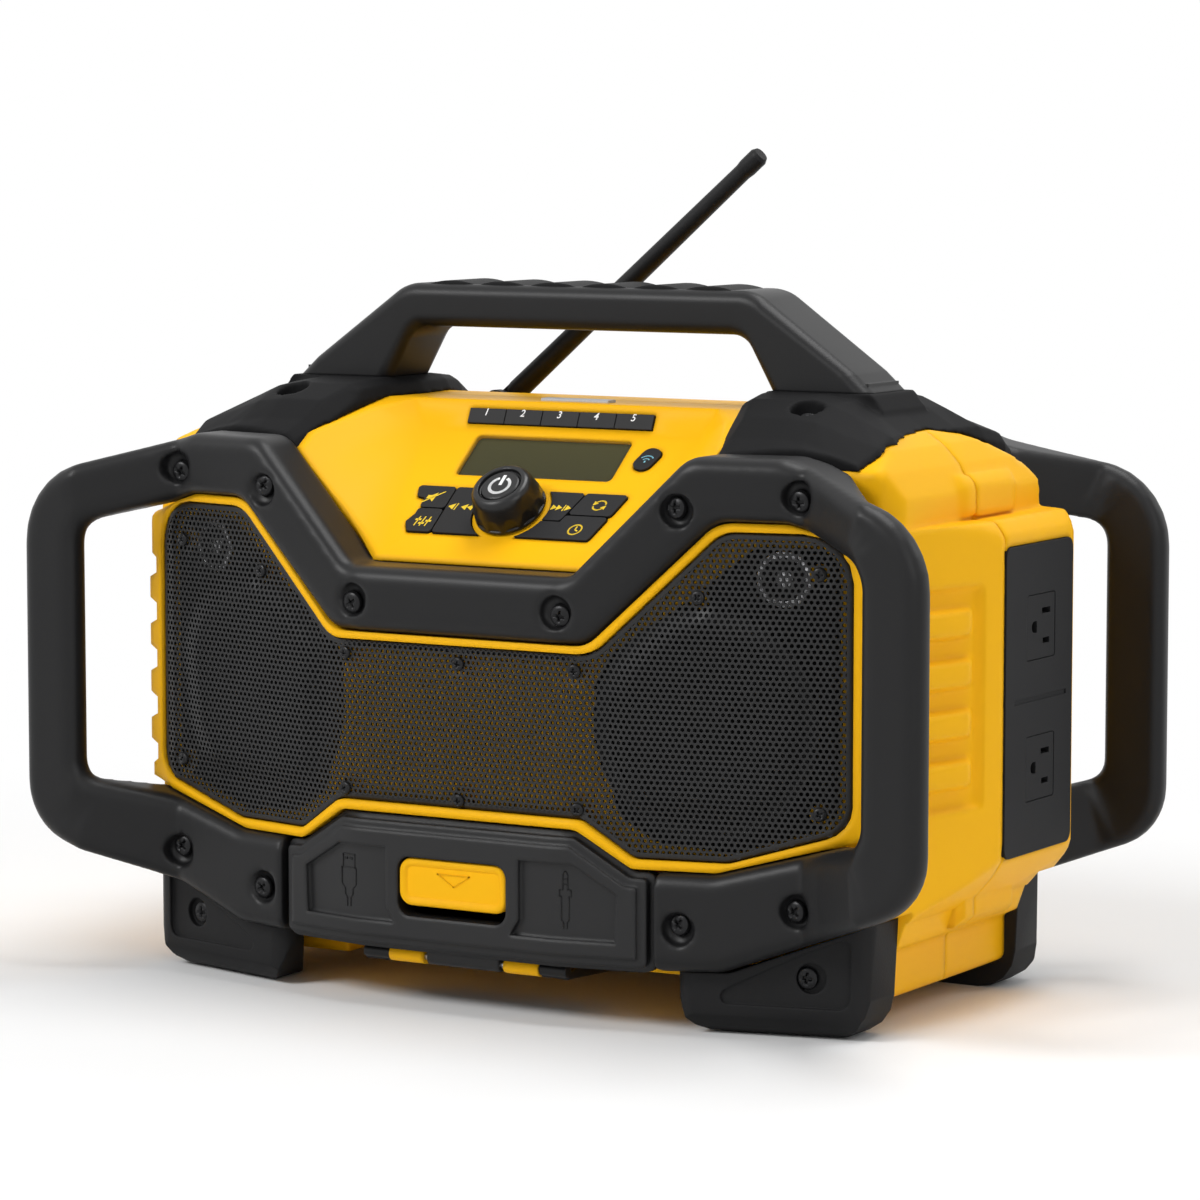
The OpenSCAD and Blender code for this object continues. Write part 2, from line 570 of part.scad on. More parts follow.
// Perforated steel front: a bowed sheet with a turned-back rim and two raised fields
module grille_sheet(from, to, inset) intersection() {
    along_y(-130, -60) offset(delta = -inset) grille_outline();
    let (xs = [57, 165, 175], front = front_of(lip_bow, from, xs), back = front_of(lip_bow, to, xs))
        along_z(60, 220) polygon(concat(front, [for (i = [2:-1:0]) back[i]], mirror_x(concat(front, [for (i = [2:-1:0]) back[i]]))));
}
module speaker_grille() color("#2b2b2c") difference() {
    union() {
        grille_sheet(grille_y, grille_y + grille_t, slop);
        difference() {
            grille_sheet(grille_y, recess_floor, slop);
            grille_sheet(grille_y, recess_floor + 1, slop + grille_t);
        }
    }
    at_grille_screws() translate([0, 0, -10]) cylinder(r = 1.4, h = 20);
}

// Basket and magnet of a woofer, mouth at z = 0
module woofer(side) on_baffle(side, woofer_spot) color("#3f4144") {
    difference() {
        union() {
            cylinder(r = woofer_r, h = 2.4);
            translate([0, 0, -16]) cylinder(r = woofer_r - 3.5, h = 17);
            translate([0, 0, -34]) cylinder(r1 = 30, r2 = woofer_r - 3.5, h = 18);
        }
        translate([0, 0, -15]) cylinder(r = woofer_r - 6, h = 30);
        translate([0, 0, -32]) cylinder(r1 = 22, r2 = woofer_r - 6, h = 17.1);
        translate([0, 0, -40]) cylinder(r = 14, h = 20);
        for (i = [0:5]) rotate(i * 60) translate([34, 0, -24]) rotate([0, 90, 0]) cylinder(r = 7, h = 30, center = true);
    }
    translate([0, 0, -38]) cylinder(r = 36, h = 4);
    translate([0, 0, -56]) cylinder(r = 32, h = 18);
}
module woofer_left() woofer(-1);
module woofer_right() woofer(1);

// Cone with its half-round surround and dust cap
module woofer_cone(side) on_baffle(side, woofer_spot) color("#242425") rotate_extrude() polygon([
    [0, -4], [6, -5], [11, -8], [14, -11.6], [36, -1.6], [37.5, 0.6], [39.5, 1.4], [41.3, 0.6], [42, -1], [42, -2.6],
    [40, -2.4], [38, -2.6], [36, -3.4], [13.5, -14], [13.5, -33], [12.5, -33], [12.5, -13], [0, -12]]);
module woofer_cone_left() woofer_cone(-1);
module woofer_cone_right() woofer_cone(1);

// Small dome tweeter with a metal ring
module tweeter(side) on_baffle(side, tweeter_spot) color("#8c8d90") {
    rotate_extrude() polygon([[0, 1.8], [3.5, 1.2], [5.6, -0.6], [6.4, -1.4], [7.6, 1.4], [9.4, 2.2], [tweeter_r, 1.6], [tweeter_r, 0],
        [tweeter_r - 2.7, 0], [tweeter_r - 2.7, -12], [0, -12]]);
}
module tweeter_left() tweeter(-1);
module tweeter_right() tweeter(1);

// ---- controls --------------------------------------------------------------------------------

pad_top = 31.5;
pad_low = 3.5;
ring_r = knob_r + 2.4;   // the pads stop at this radius round the knob

// Outline of a pad button on the panel, x and distance up the slope
module button_face(name) {
    g = button_gap;
    if (name == "pairing") translate([51.2, 54.2]) rotate(-18) offset(r = 4, $fn = 24) square([1.2, 5.4], center = true);
    else difference() {
        offset(r = 1.5, $fn = 16) offset(delta = -1.5)
            polygon(name == "mute" ? [[-52.7, pad_top], [-33 - g, pad_top], [-33 - g, 18 + g], [-46, 18 + g], [-46, 24], [-50.4, 25]] :
                name == "tone" ? [[-48.5, 9], [-46, 14], [-46, 18 - g], [-33 - g, 18 - g], [-33 - g, pad_low], [-45.2, pad_low]] :
                name == "previous" ? [[-33 + g, pad_top], [-8, pad_top], [-4, pad_low], [-33 + g, pad_low]] :
                name == "next" ? [[8, pad_top], [32 - g, pad_top], [27 - g, 14 + g], [8, 14 + g]] :
                name == "mode" ? [[32 + g, pad_top], [52.7, pad_top], [49.4, 18 + g], [28.2 + g, 18 + g]] :
                [[8, 14 - g], [27, 14 - g], [28.2, 18 - g], [49, 18 - g], [45.2, pad_low], [6, pad_low]]);
        translate([0, knob_s]) circle(r = ring_r, $fn = 48);
    }
}

// A cap that stands 1 mm proud, slides in its cut-out, and has a stem towards its switch
cap_top = 1;
module pad_button(name, stem) color("#3d3d3e") on_panel() {
    translate([0, 0, -wall + 0.4]) linear_extrude(cap_top + wall - 0.4) button_face(name);
    translate([stem.x, stem.y, -board_drop + switch_h + button_travel + 0.15]) cylinder(r = 2, h = board_drop - switch_h - button_travel - 2.2);
}
board_drop = 11;         // depth of the control board's face under the panel
switch_h = 4;
button_stems = [["mute", [-40, 24]], ["tone", [-40, 10]], ["previous", [-26, 17]], ["next", [25, 24]],
    ["mode", [40, 24]], ["clock", [36, 10]], ["pairing", [51.2, 54.2]]];
function stem_of(name) = [for (b = button_stems) if (b[0] == name) b[1]][0];
module mute_button() pad_button("mute", stem_of("mute"));
module tone_button() pad_button("tone", stem_of("tone"));
module previous_button() pad_button("previous", stem_of("previous"));
module next_button() pad_button("next", stem_of("next"));
module mode_button() pad_button("mode", stem_of("mode"));
module clock_button() pad_button("clock", stem_of("clock"));
module pairing_button() pad_button("pairing", stem_of("pairing"));

// Steeper face above the display that holds the preset keys: origin at its lower edge
preset_tilt = panel_slope + 27.2;
preset_w = 93;
preset_h = 6.8;
preset_mid = 7;          // middle of the keys up the face
module on_preset_face() on_panel() translate([0, 67.7, 0]) rotate([27.2, 0, 0]) children();
module preset_cutout() on_preset_face() block([-preset_w / 2 - slop, preset_mid - preset_h / 2 - slop, -6], [preset_w / 2 + slop, preset_mid + preset_h / 2 + slop, 6]);
module preset_button(i) color("#3d3d3e") on_preset_face() {
    pitch = preset_w / 5;
    left = -preset_w / 2 + i * pitch;
    block([left + (i == 0 ? 0 : 0.2), preset_mid - preset_h / 2, -wall + 0.4], [left + pitch - (i == 4 ? 0 : 0.2), preset_mid + preset_h / 2, cap_top]);
}
module preset_button_1() preset_button(0);
module preset_button_2() preset_button(1);
module preset_button_3() preset_button(2);
module preset_button_4() preset_button(3);
module preset_button_5() preset_button(4);

// Volume knob: flared body with shallow finger flutes, a rim and a stem for the encoder
stem_r = 3;
module volume_knob() color("#2f2f30") on_panel() translate([0, knob_s, 0]) difference() {
    union() {
        rotate_extrude($fn = 72) polygon([[0, 0.6], [knob_r - 0.6, 0.6], [knob_r, 1.4], [knob_r - 0.6, 6], [13.6, knob_h - 2.4],
            [12.6, knob_h - 0.8], [11.4, knob_h], [9.9, knob_h], [9.4, knob_h - 1.6], [0, knob_h - 1.6]]);
        translate([0, 0, -8]) cylinder(r = stem_r, h = 10);
    }
    translate([0, 0, knob_h - 4.2]) cylinder(r = 8.9, h = 6);
    for (i = [0:11]) rotate(i * 30) translate([knob_r + 11.1, 0, 2.4]) cylinder(r = 12, h = knob_h);
}
// Press disc in the top of the knob
module power_button() color("#29292a") on_panel() translate([0, knob_s, 0])
    rotate_extrude($fn = 72) polygon([[0, knob_h - 3.1], [8.6, knob_h - 3.1], [8.6, knob_h - 0.9], [8, knob_h - 0.4], [0, knob_h - 0.4]]);
// Rotary encoder on the board with its threaded bush
module volume_encoder() color("#9a9b9e") on_panel() translate([0, knob_s, 0]) difference() {
    union() {
        block([-6.5, -6.5, -board_drop], [6.5, 6.5, -wall]);
        translate([0, 0, -wall - 0.1]) cylinder(r = 3.5, h = wall + 0.2);
    }
    translate([0, 0, -8.2]) cylinder(r = stem_r + running, h = 12);
}

module display_outline() rounded_bar(lcd_size / 2, 2.4);
module display_lens() color([0.42, 0.42, 0.32, 0.9]) on_panel() translate([0, lcd_s, -1.9]) linear_extrude(1.6) display_outline();
module display_module() color("#4c4f46") on_panel() translate([0, lcd_s, 0]) difference() {
    union() {
        block([-lcd_size.x / 2 - 3, -lcd_size.y / 2 - 3, -board_drop], [lcd_size.x / 2 + 3, lcd_size.y / 2 + 3, -wall]);
        translate([0, 0, -wall - 1]) linear_extrude(wall - 0.9) display_outline();
    }
}

// Small lens of the charge lamp in the flat top above the presets
module status_cutout() block([-15 - slop, -15.4 - slop, 252.4], [15 + slop, -11 + slop, 258]);
module status_lens() color("#b9bbbd") block([-15, -15.4, 252.4], [15, -11, 254.3]);

module control_board() color("#1f6b3a") on_panel() {
    translate([0, 0, -board_drop - 1.6]) linear_extrude(1.6) polygon([[-46, 1], [46, 1], [66, 64], [-66, 64]]);
    color("#222222") for (b = button_stems) translate([b[1].x, b[1].y, -board_drop]) {
        block([-3, -3, 0], [3, 3, switch_h - 0.5]);
        cylinder(r = 1.7, h = switch_h);
    }
}
// Receiver and amplifier board, on two posts from the power board
module main_board() color("#1f6b3a") {
    block([-60, 20, 110], [60, 21.6, 190]);
    color("#222222") for (x = [-40, 0, 40]) block([x - 9, 14, 130], [x + 9, 20, 148]);
    color("#8a8b8e") for (x = [-30:20:30]) translate([x, 20, 168]) rotate([90, 0, 0]) cylinder(r = 5, h = 14);
    color("#2a2a2a") for (x = [-56, 56]) block([x - 3, 16, 14.5], [x + 3, 26, 112]);
}
// Mains supply and charger on the floor of the rear housing
module power_supply() color("#2a2a2a") {
    block([-60, 6, 12.5], [60, 64, 14.5]);
    color("#54585c") block([-30, 12, 14.5], [22, 58, 54]);
    color("#b87333") block([-22, 18, 54], [14, 52, 60]);
    color("#6a6d70") for (y = [10, 28, 46]) block([34, y, 14.5], [50, y + 14, 42]);
}

// ---- storage door and bay --------------------------------------------------------------------

hinge_at = [-106, 22];  // y and z of the door hinge pin
pin_r = 1.6;
knuckle_r = 3.2;
middle_knuckle = 17.8;   // half its length
module door_outline() polygon(rounded(concat(door_half, flip(door_half)), 3));
module bowed_band(near, far, z0, z1, x_max = 95) along_z(z0, z1) let (
    a = [[48, -cage_front + near], [x_max, -lookup(x_max, cage_bow) + near]],
    b = [[48, -cage_front + far], [x_max, -lookup(x_max, cage_bow) + far]])
    polygon(concat(a, [b[1], b[0]], mirror_x(concat(a, [b[1], b[0]]))));

latch_half = [26.7, 10.2];
latch_z = 55.6;
module rounded_bar(half, r) offset(r = r, $fn = 32) square([2 * half.x - 2 * r, 2 * half.y - 2 * r], center = true);

// Opening lid of the storage bay: thick shell with a sunk field, raised middle and latch window
module storage_door() color(black) difference() {
    union() {
        intersection() {
            along_y(-130, -60) door_outline();
            bowed_band(6, 10, 0, 100);
        }
        // the back is narrower, to clear the lip above it as the door swings
        intersection() {
            along_y(-130, -60) offset(delta = -2.4) door_outline();
            bowed_band(9, 20, 0, 100);
        }
        intersection() {
            along_y(-130, -60) offset(delta = -2.4) door_outline();
            bowed_band(2, 7, 0, 100);
        }
        intersection() {
            along_y(-130, -60) offset(delta = -6) door_outline();
            bowed_band(0, 7, 0, 100);
        }
        // middle hinge knuckle
        translate([-middle_knuckle, hinge_at.x, hinge_at.y]) rotate([0, 90, 0]) cylinder(r = knuckle_r, h = 2 * middle_knuckle);
        block([-middle_knuckle, hinge_at.x - knuckle_r, hinge_at.y], [middle_knuckle, hinge_at.x + knuckle_r, 30]);
    }
    // sunk field either side of the raised middle
    difference() {
        along_y(-130, -60) polygon([[-77.6, 57.5], [-58, 69.5], [58, 69.5], [77.6, 57.5], [76.8, 37.4], [-76.8, 37.4]]);
        bowed_band(2.6, 40, 0, 100);
        along_y(-130, -60) polygon([[-33, 70], [33, 70], [33, 44], [28, 36], [-28, 36], [-33, 44]]);
    }
    // hollow back
    intersection() {
        along_y(-130, -60) offset(delta = -9) door_outline();
        bowed_band(10, 40, 0, 100);
    }
    // window that the latch slides in
    translate([0, -90, latch_z - 2]) rotate([90, 0, 0]) linear_extrude(60) rounded_bar(latch_half + [0.5, 2.6], 6);
    translate([-30, hinge_at.x, hinge_at.y]) rotate([0, 90, 0]) cylinder(r = pin_r + running, h = 60);
    for (x = [-28.7, 28.7]) translate([x - 9.2, hinge_at.x, hinge_at.y]) rotate([0, 90, 0]) cylinder(r = knuckle_r + 0.6, h = 18.4);
}
// Sliding latch: thumb pad through the door, guide plate behind it and a tongue over the bay's rim
module door_latch() color(yellow) {
    translate([0, -107.3, latch_z]) rotate([90, 0, 0]) linear_extrude(8.6) rounded_bar(latch_half, 6);
    block([-34, -107.6, latch_z - 9], [34, -105.4, latch_z + 14.6]);
    block([-10, -106, latch_z + 11], [10, -94, bay[1].y - 2.3]);
}
module door_hinge_pin() color("#8a8b8e") translate([-44, hinge_at.x, hinge_at.y]) rotate([0, 90, 0]) cylinder(r = pin_r, h = 88);

// Black strip under the door that carries the outer knuckles and the ends of the pin
function underside(y) = 9.5 + (underside_z - 9.5) * (6 - y) / 97;
module sill_section(front) polygon([[front, 18.6], [front, 21.2], [-97.6, 22.6], [-91, underside_z], [-66, underside(-66)],
    [-66, underside(-66) - 2.2]]);
module door_sill() {
    color(black) difference() {
        union() {
            along_x(-50.5, 50.5) sill_section(-101);
            for (x = [-44, 44]) {
                along_x(x - 6.5, x + 6.5) sill_section(hinge_at.x);
                translate([x - 6.5, hinge_at.x, hinge_at.y]) rotate([0, 90, 0]) cylinder(r = 2.6, h = 13);
            }
        }
        translate([-44.3, hinge_at.x, hinge_at.y]) rotate([0, 90, 0]) cylinder(r = pin_r, h = 88.6);
    }
    color(yellow) for (x = [-28.7, 28.7]) difference() {
        union() {
            translate([x - 8.5, hinge_at.x, hinge_at.y]) rotate([0, 90, 0]) cylinder(r = knuckle_r, h = 17);
            along_x(x - 8.5, x + 8.5) sill_section(hinge_at.x);
        }
        translate([x - 10, hinge_at.x, hinge_at.y]) rotate([0, 90, 0]) cylinder(r = pin_r, h = 20);
    }
}

// Liner of the storage bay with its back wall
module storage_bay() color("#333334") difference() {
    block([bay[0].x, -97, bay[0].y], [bay[1].x, bay_back, bay[1].y]);
    block([bay[0].x + 2, -120, bay[0].y + 2], [bay[1].x - 2, bay_back - 2, bay[1].y - 2]);
    door_recess();
    block([-30, bay_back - 5, 46], [-10, bay_back + 5, 60]);
    translate([20, bay_back - 5, 53]) rotate([-90, 0, 0]) cylinder(r = 5.5, h = 10);
}
module usb_port() color("#1c1c1d") difference() {
    union() {
        block([-30, bay_back - 2, 46], [-10, bay_back + 12, 60]);
        block([-32, bay_back, 44], [-8, bay_back + 2, 62]);
    }
    block([-26.5, bay_back - 3, 50.5], [-13.5, bay_back + 9, 55.5]);
}
module aux_jack() color("#1c1c1d") translate([20, bay_back, 53]) rotate([-90, 0, 0]) difference() {
    union() {
        translate([0, 0, -2]) cylinder(r = 5.5, h = 3);
        cylinder(r = 7.5, h = 10);
    }
    translate([0, 0, -3]) cylinder(r = 1.8, h = 11);
}

// ---- outlets on the right side ---------------------------------------------------------------

outlet_y = [-1.2, 64.2];
outlet_z = [66.5, 198.8];
outlet_t = 3.4;
outlet_mid_y = 32.8;
outlet_faces = [162.8, 102.7];
module outlet_recess() along_x(body_x - 2.6, body_x + 5) translate([outlet_y[0], outlet_z[0]])
    offset(r = 5) translate([5, 5]) square([outlet_y[1] - outlet_y[0] - 10, outlet_z[1] - outlet_z[0] - 10]);
module outlet_face_outline(gap) translate([outlet_mid_y, 0]) offset(r = 1.2 + gap, $fn = 16) square([24.6, 25], center = true);
module outlet_panel() color(black) difference() {
    along_x(body_x - 2.6, body_x + outlet_t - 2.6) translate([outlet_y[0], outlet_z[0]])
        offset(r = 5 - slop) translate([5, 5]) square([outlet_y[1] - outlet_y[0] - 10, outlet_z[1] - outlet_z[0] - 10]);
    for (z = outlet_faces) along_x(body_x - 10, body_x + 10) translate([0, z]) outlet_face_outline(0.3);
    along_x(body_x + 0.2, body_x + 3) translate([7.4, 131.4]) square([50.4, 2]);
}
// Duplex outlet: two faces with blade slots and earth holes on one body
module receptacle() color("#454546") difference() {
    union() {
        for (z = outlet_faces) along_x(body_x - 6, body_x + 0.6) translate([0, z]) outlet_face_outline(0);
        block([body_x - 24, outlet_mid_y - 16, outlet_faces[1] - 20], [body_x - 2.6, outlet_mid_y + 16, outlet_faces[0] + 20]);
    }
    for (z = outlet_faces) translate([body_x - 12, outlet_mid_y, z]) {
        block([0, 1.2, 5.2], [14, 9.2, 7.6]);
        block([0, 2, -7.6], [14, 8.4, -5.2]);
        translate([0, -6.2, 0]) rotate([0, 90, 0]) cylinder(r = 2.5, h = 14);
        block([0, -6.2, -2.5], [14, -3.8, 2.5]);
    }
}
// Room for the outlet's body in the side wall
module receptacle_opening() block([body_x - 26, outlet_mid_y - 17, outlet_faces[1] - 21], [body_x - 2, outlet_mid_y + 17, outlet_faces[0] + 21]);

// ---- antenna ---------------------------------------------------------------------------------

antenna_at = [-70.6, 38, 248];
module antenna_opening() translate([antenna_at.x, antenna_at.y, 200]) cylinder(r = 4 + running, h = 60);
// Swivel base with a fork for the mast
module antenna_base() color("#2c2c2d") translate(antenna_at) difference() {
    union() {
        translate([0, 0, deck_z - antenna_at.z - 6]) cylinder(r = 4, h = 6.2);
        translate([0, 0, deck_z - antenna_at.z + 0.1]) cylinder(r = 9, h = 2);
        intersection() {
            translate([0, 0, deck_z - antenna_at.z + 2]) cylinder(r = 8, h = 14);
            union() {
                rotate([90, 0, 0]) cylinder(r = 6.5, h = 20, center = true);
                block([-6.5, -10, -5], [6.5, 10, 0]);
            }
        }
    }
    block([-12, -3.3, -4.2], [12, 3.3, 12]);
    rotate([90, 0, 0]) cylinder(r = 1.5 + running, h = 30, center = true);
}
module antenna_mast() color("#2c2c2d") translate(antenna_at) {
    rotate([90, 0, 0]) cylinder(r = 1.5, h = 13, center = true);
    rotate([0, antenna_lean, 0]) {
        intersection() {
            union() {
                rotate([90, 0, 0]) cylinder(r = 3.9, h = 6, center = true);
                block([-3.9, -3, 0], [3.9, 3, 10]);
            }
            block([-8, -3, -8], [8, 3, 12]);
        }
        rotate_extrude() polygon([[0, 7.4], [4.4, 7.4], [4.9, 10], [4.7, 40], [3.9, antenna_len - 12], [4.3, antenna_len - 9],
            [4.3, antenna_len - 2], [3.3, antenna_len], [0, antenna_len]]);
    }
}

// ---- battery bay at the back -----------------------------------------------------------------

// Seen from behind the battery bay is in the right lobe, which is the -X side
bay_half = 40.5;                    // half the opening's width
bay_z = [90, 166];                  // bottom and top of the opening
battery_deep = 62;
cover_pin = [-1, 93];               // y and z of the cover's hinge in the lobe's own frame
module battery_frame() translate([-118, -lip_y(118), 0]) rotate([0, 0, lobe_angle]) children();
module battery_opening() battery_frame() block([-bay_half, -battery_deep - 1, bay_z[0]], [bay_half, 12, bay_z[1]]);
module cover_pins() battery_frame() for (x = [-41, 38]) translate([x, cover_pin.x, cover_pin.y]) rotate([0, 90, 0]) cylinder(r = 1.2, h = 3);
// Ribbed cover with a rolled hinge edge at the bottom
module battery_cover() color(black) battery_frame() difference() {
    union() {
        block([0.5 - bay_half, cover_pin.x - 2.2, cover_pin.y], [bay_half - 0.5, cover_pin.x + 2.2, bay_z[1] - 0.6]);
        translate([0.5 - bay_half, cover_pin.x, cover_pin.y]) rotate([0, 90, 0]) cylinder(r = 2.2, h = 2 * bay_half - 1);
        for (z = [102:14:130]) block([-34, 0, z], [34, 2.6, z + 6]);
    }
    for (x = [-41, 37.6]) translate([x, cover_pin.x, cover_pin.y]) rotate([0, 90, 0]) cylinder(r = 1.2 + running, h = 3.4);
    block([-14, -4, latch_low - 3.4], [14, 4, bay_z[1] + 2]);
    block([-15.8, -2.2, latch_low - 4.4], [15.8, -0.6, bay_z[1] + 2]);
}
latch_low = 152.4;                  // lower edge of the battery cover's latch
module battery_latch() color(yellow) battery_frame() {
    block([-13.4, -2.8, latch_low], [13.4, 2.4, bay_z[1] - 0.8]);
    block([-15.4, -1.9, latch_low], [15.4, -0.9, bay_z[1] - 4]);
}
// Liner of the battery bay, with a flange behind the housing's wall
module battery_bay() color("#2b2b2c") battery_frame() difference() {
    union() {
        block([0.1 - bay_half, -battery_deep, bay_z[0] + 0.1], [bay_half - 0.1, -3.6, bay_z[1] - 0.1]);
        block([-bay_half - 1.6, -6, bay_z[0] - 2.5], [bay_half + 1.6, -3.6, bay_z[1] - 0.1]);
    }
    block([2.1 - bay_half, -battery_deep + 2, bay_z[0] + 2.1], [bay_half - 2.1, 0, bay_z[1] - 2.1]);
}

// Three-pin power inlet in the other lobe, with a finger recess round it
inlet_at = [112, 100];
module inlet_frame() translate([inlet_at.x, -lip_y(inlet_at.x), inlet_at.y]) rotate([0, 0, -lobe_angle]) children();
module inlet_opening() inlet_frame() block([-14, -14, -10.5], [14, 12, 10.5]);
module power_inlet() color("#202021") inlet_frame() difference() {
    union() {
        block([-14, -22, -10.5], [14, 0, 10.5]);
        block([-20, 0, -13], [20, 2, 13]);
    }
    along_y(-18, 3) polygon([[-12, -8], [12, -8], [12, 3.5], [8, 8], [-8, 8], [-12, 3.5]]);
}
module rear_vents() for (i = [0:6]) translate([82 + 8.5 * i, 60, 118 + 0 * i]) block([0, 0, 0], [4, 70, 54]);

// ---- drawing ---------------------------------------------------------------------------------

front_housing();
rear_housing();
front_cage();
rear_cage();
carry_handle();
handle_grip();
shoulder_left();
shoulder_right();
front_foot_left();
front_foot_right();
rear_foot_left();
rear_foot_right();
cage_screws();
foot_screws();
shoulder_screws();
grille_screws();
speaker_grille();
woofer_left();
woofer_right();
woofer_cone_left();
woofer_cone_right();
tweeter_left();
tweeter_right();
preset_button_1();
preset_button_2();
preset_button_3();
preset_button_4();
preset_button_5();
mute_button();
tone_button();
previous_button();
next_button();
mode_button();
clock_button();
pairing_button();
volume_knob();
power_button();
volume_encoder();
display_lens();
display_module();
status_lens();
control_board();
main_board();
power_supply();
storage_door();
door_latch();
door_hinge_pin();
door_sill();
storage_bay();
usb_port();
aux_jack();
outlet_panel();
receptacle();
antenna_base();
antenna_mast();
battery_cover();
battery_latch();
battery_bay();
power_inlet();
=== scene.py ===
"""Looks of a jobsite radio: smooth mouldings, a perforated speaker front, screws, signs, finishes and stage.

Lengths are in millimetres unless a comment says otherwise, and are turned into metres where a mesh is made.
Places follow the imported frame: +Z up, the front faces -Y, the origin is on the ground under the middle.
"""
import json
import math

import bmesh
import bpy
from mathutils import Matrix, Vector


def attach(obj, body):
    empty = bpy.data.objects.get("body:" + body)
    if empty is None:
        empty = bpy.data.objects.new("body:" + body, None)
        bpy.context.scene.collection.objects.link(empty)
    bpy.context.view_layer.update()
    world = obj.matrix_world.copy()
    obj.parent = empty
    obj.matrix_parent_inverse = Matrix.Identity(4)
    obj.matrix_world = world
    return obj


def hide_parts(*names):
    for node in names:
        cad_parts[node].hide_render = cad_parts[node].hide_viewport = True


bl_info = {
    "name": "Jobsite Radio",
    "version": (1, 0, 0),
    "blender": (4, 5, 0),
    "location": "3D View > Sidebar > Radio",
    "description": "Dresses the frame of a jobsite radio and sets up its stage",
    "category": "Object",
}

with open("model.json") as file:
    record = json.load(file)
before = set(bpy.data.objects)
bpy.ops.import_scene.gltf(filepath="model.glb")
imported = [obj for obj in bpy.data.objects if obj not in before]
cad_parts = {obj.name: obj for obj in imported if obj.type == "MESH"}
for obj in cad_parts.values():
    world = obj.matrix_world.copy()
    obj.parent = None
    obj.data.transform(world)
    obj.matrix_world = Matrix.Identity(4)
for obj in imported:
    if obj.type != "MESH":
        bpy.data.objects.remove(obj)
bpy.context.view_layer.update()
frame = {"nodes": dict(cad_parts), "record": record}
MM = 0.001
WELD = 2e-6                 # metres; a node's loose corners closer than this are one

BODY_OF = {node: body for body, nodes in frame["record"]["behaviour"]["bodies"].items() for node in nodes}
SLOT_OF = {part["node"]: part["material_slot"] for part in frame["record"]["subparts"]}


# ---- shapes shared with the construction ---------------------------------------------------------

# |x| and the distance ahead of the middle
LIP_BOW = [(0, 113.8), (57, 113.8), (165, 88.6), (175, 83.6), (260, 60)]
DOOR_BOW = [(0, 118), (48, 118), (156, 98.3)]

# right halves of outlines: x, z and corner radius
GRILLE_HALF = [(60, 87.5, 8), (82.5, 72.3, 8), (122, 72.3, 12), (173, 87.5, 14), (173, 209.5, 20),
               (118.8, 209.5, 16), (64.6, 157, 14)]
FIELD_HALF = [(74, 92, 14), (150, 92, 26), (158, 168, 30), (104, 178, 24), (72, 150, 24)]
# outline of the dark felt, painted shade behind the grille
SHADE_FELT_HALF = [(72, 90, 8), (90, 79, 8), (121, 76, 12), (165, 90, 14), (165, 203, 12), (130, 203, 12),
             (98, 172, 10), (72, 147, 14)]

GRILLE_DEPTH = 2.3          # the grille lies this far behind the lip
GRILLE_SPAN = (352, 144)    # width and height that the holes are laid over
GRILLE_MIDDLE = 141         # height of the middle of that span
GRILLE_SCREWS = [(158.2, 193), (108.6, 181), (158.7, 94.1), (57.3, 150.4), (57.3, 92.5), (0, 150.3),
                 (0, 92.2)]
SCREW_DISH = (3.2, 8.5)     # the sheet dips between these distances from a screw
HOLE_WALL = 0.9             # how deep the wall of a hole shows
HOLE_BORDER = 1.9           # no hole is nearer than this to the outline
RIM_PROFILE = [(0.3, 5.6), (0.3, 1.8), (0.45, 0.9), (0.9, 0.25), (1.6, -0.05), (2.4, -0.12), (3.0, -0.1),
               (3.1, 0.4)]  # distance in from the outline, distance behind the face

WOOFER = (110, 128)
TWEETER = (142, 190)
WOOFER_RIM = 47.4
TWEETER_RIM = 11.8
SHADE_FELT_REACH = 49.5           # the dark felt, painted shade behind the grille, goes at least this far round a woofer
SHADE_FELT_PROUD = 1.2
BAFFLE_DEPTH = 8            # the baffle lies this far behind the lip
TWEETER_PAINTED_SHADE = (3.8, 8.9)   # painted shade: the part of a tweeter between its tip and its ring is dark, so only those two show bright, as highlights

LATCH_HALF = (26.7, 10.2)
LATCH_CORNER = 6
LATCH_FACE = -115.9
LATCH_MIDDLE = 55.6
LATCH_RIM = (3.4, 1.5)      # width, and how far it stands out
DOOR_FIELD = 2.6            # the door's sunk field lies this far behind its face
DOOR_MARKS = (54, 54)       # distance from the middle, height
KNUCKLE_SPAN = (20.1, 37.3)
KNUCKLE_FRONT = -100.5
LENS_CAP = [(-17.6, 253.4), (-17.6, 254.6), (-16.9, 255.2), (-11.2, 255.2), (-10.8, 254.6), (-10.8, 253.6)]
LENS_CAP_HALF = 17          # its half length, along x

PANEL_ORIGIN = (0, -84, 198)
PANEL_SLOPE = 39
PRESET_SLOPE = 27.2         # steeper than the panel by this
PRESET_FOOT = 67.7          # distance up the panel where the preset face starts
PRESET_PITCH = 18.6
PRESET_MIDDLE = 7
PRESET_COUNT = 5
PAD_TOP = 1.0               # the rubber pads stand this far out of the panel
KNOB_SPOT = 19.5            # distance up the panel
KNOB_TOP = 15.3

# where the housings' faces are rounded over: each pair says where that starts and where it is full
DOME_ACROSS, DOME_UP = (160, 170), (200, 204)
RIBS_ACROSS, RIBS_ALONG, RIBS_UP = (174, 180), (-82, -76), (60, 66)
RIB_SHARE = 0.4
PARTING = 0.05              # corners this close to the parting plane stay on it


def lookup(table, at):
    """Straight-line value of a table of (key, value) pairs."""
    if at <= table[0][0]:
        return table[0][1]
    for (x0, y0), (x1, y1) in zip(table, table[1:]):
        if at <= x1:
            return y0 + (y1 - y0) * (at - x0) / (x1 - x0)
    return table[-1][1]


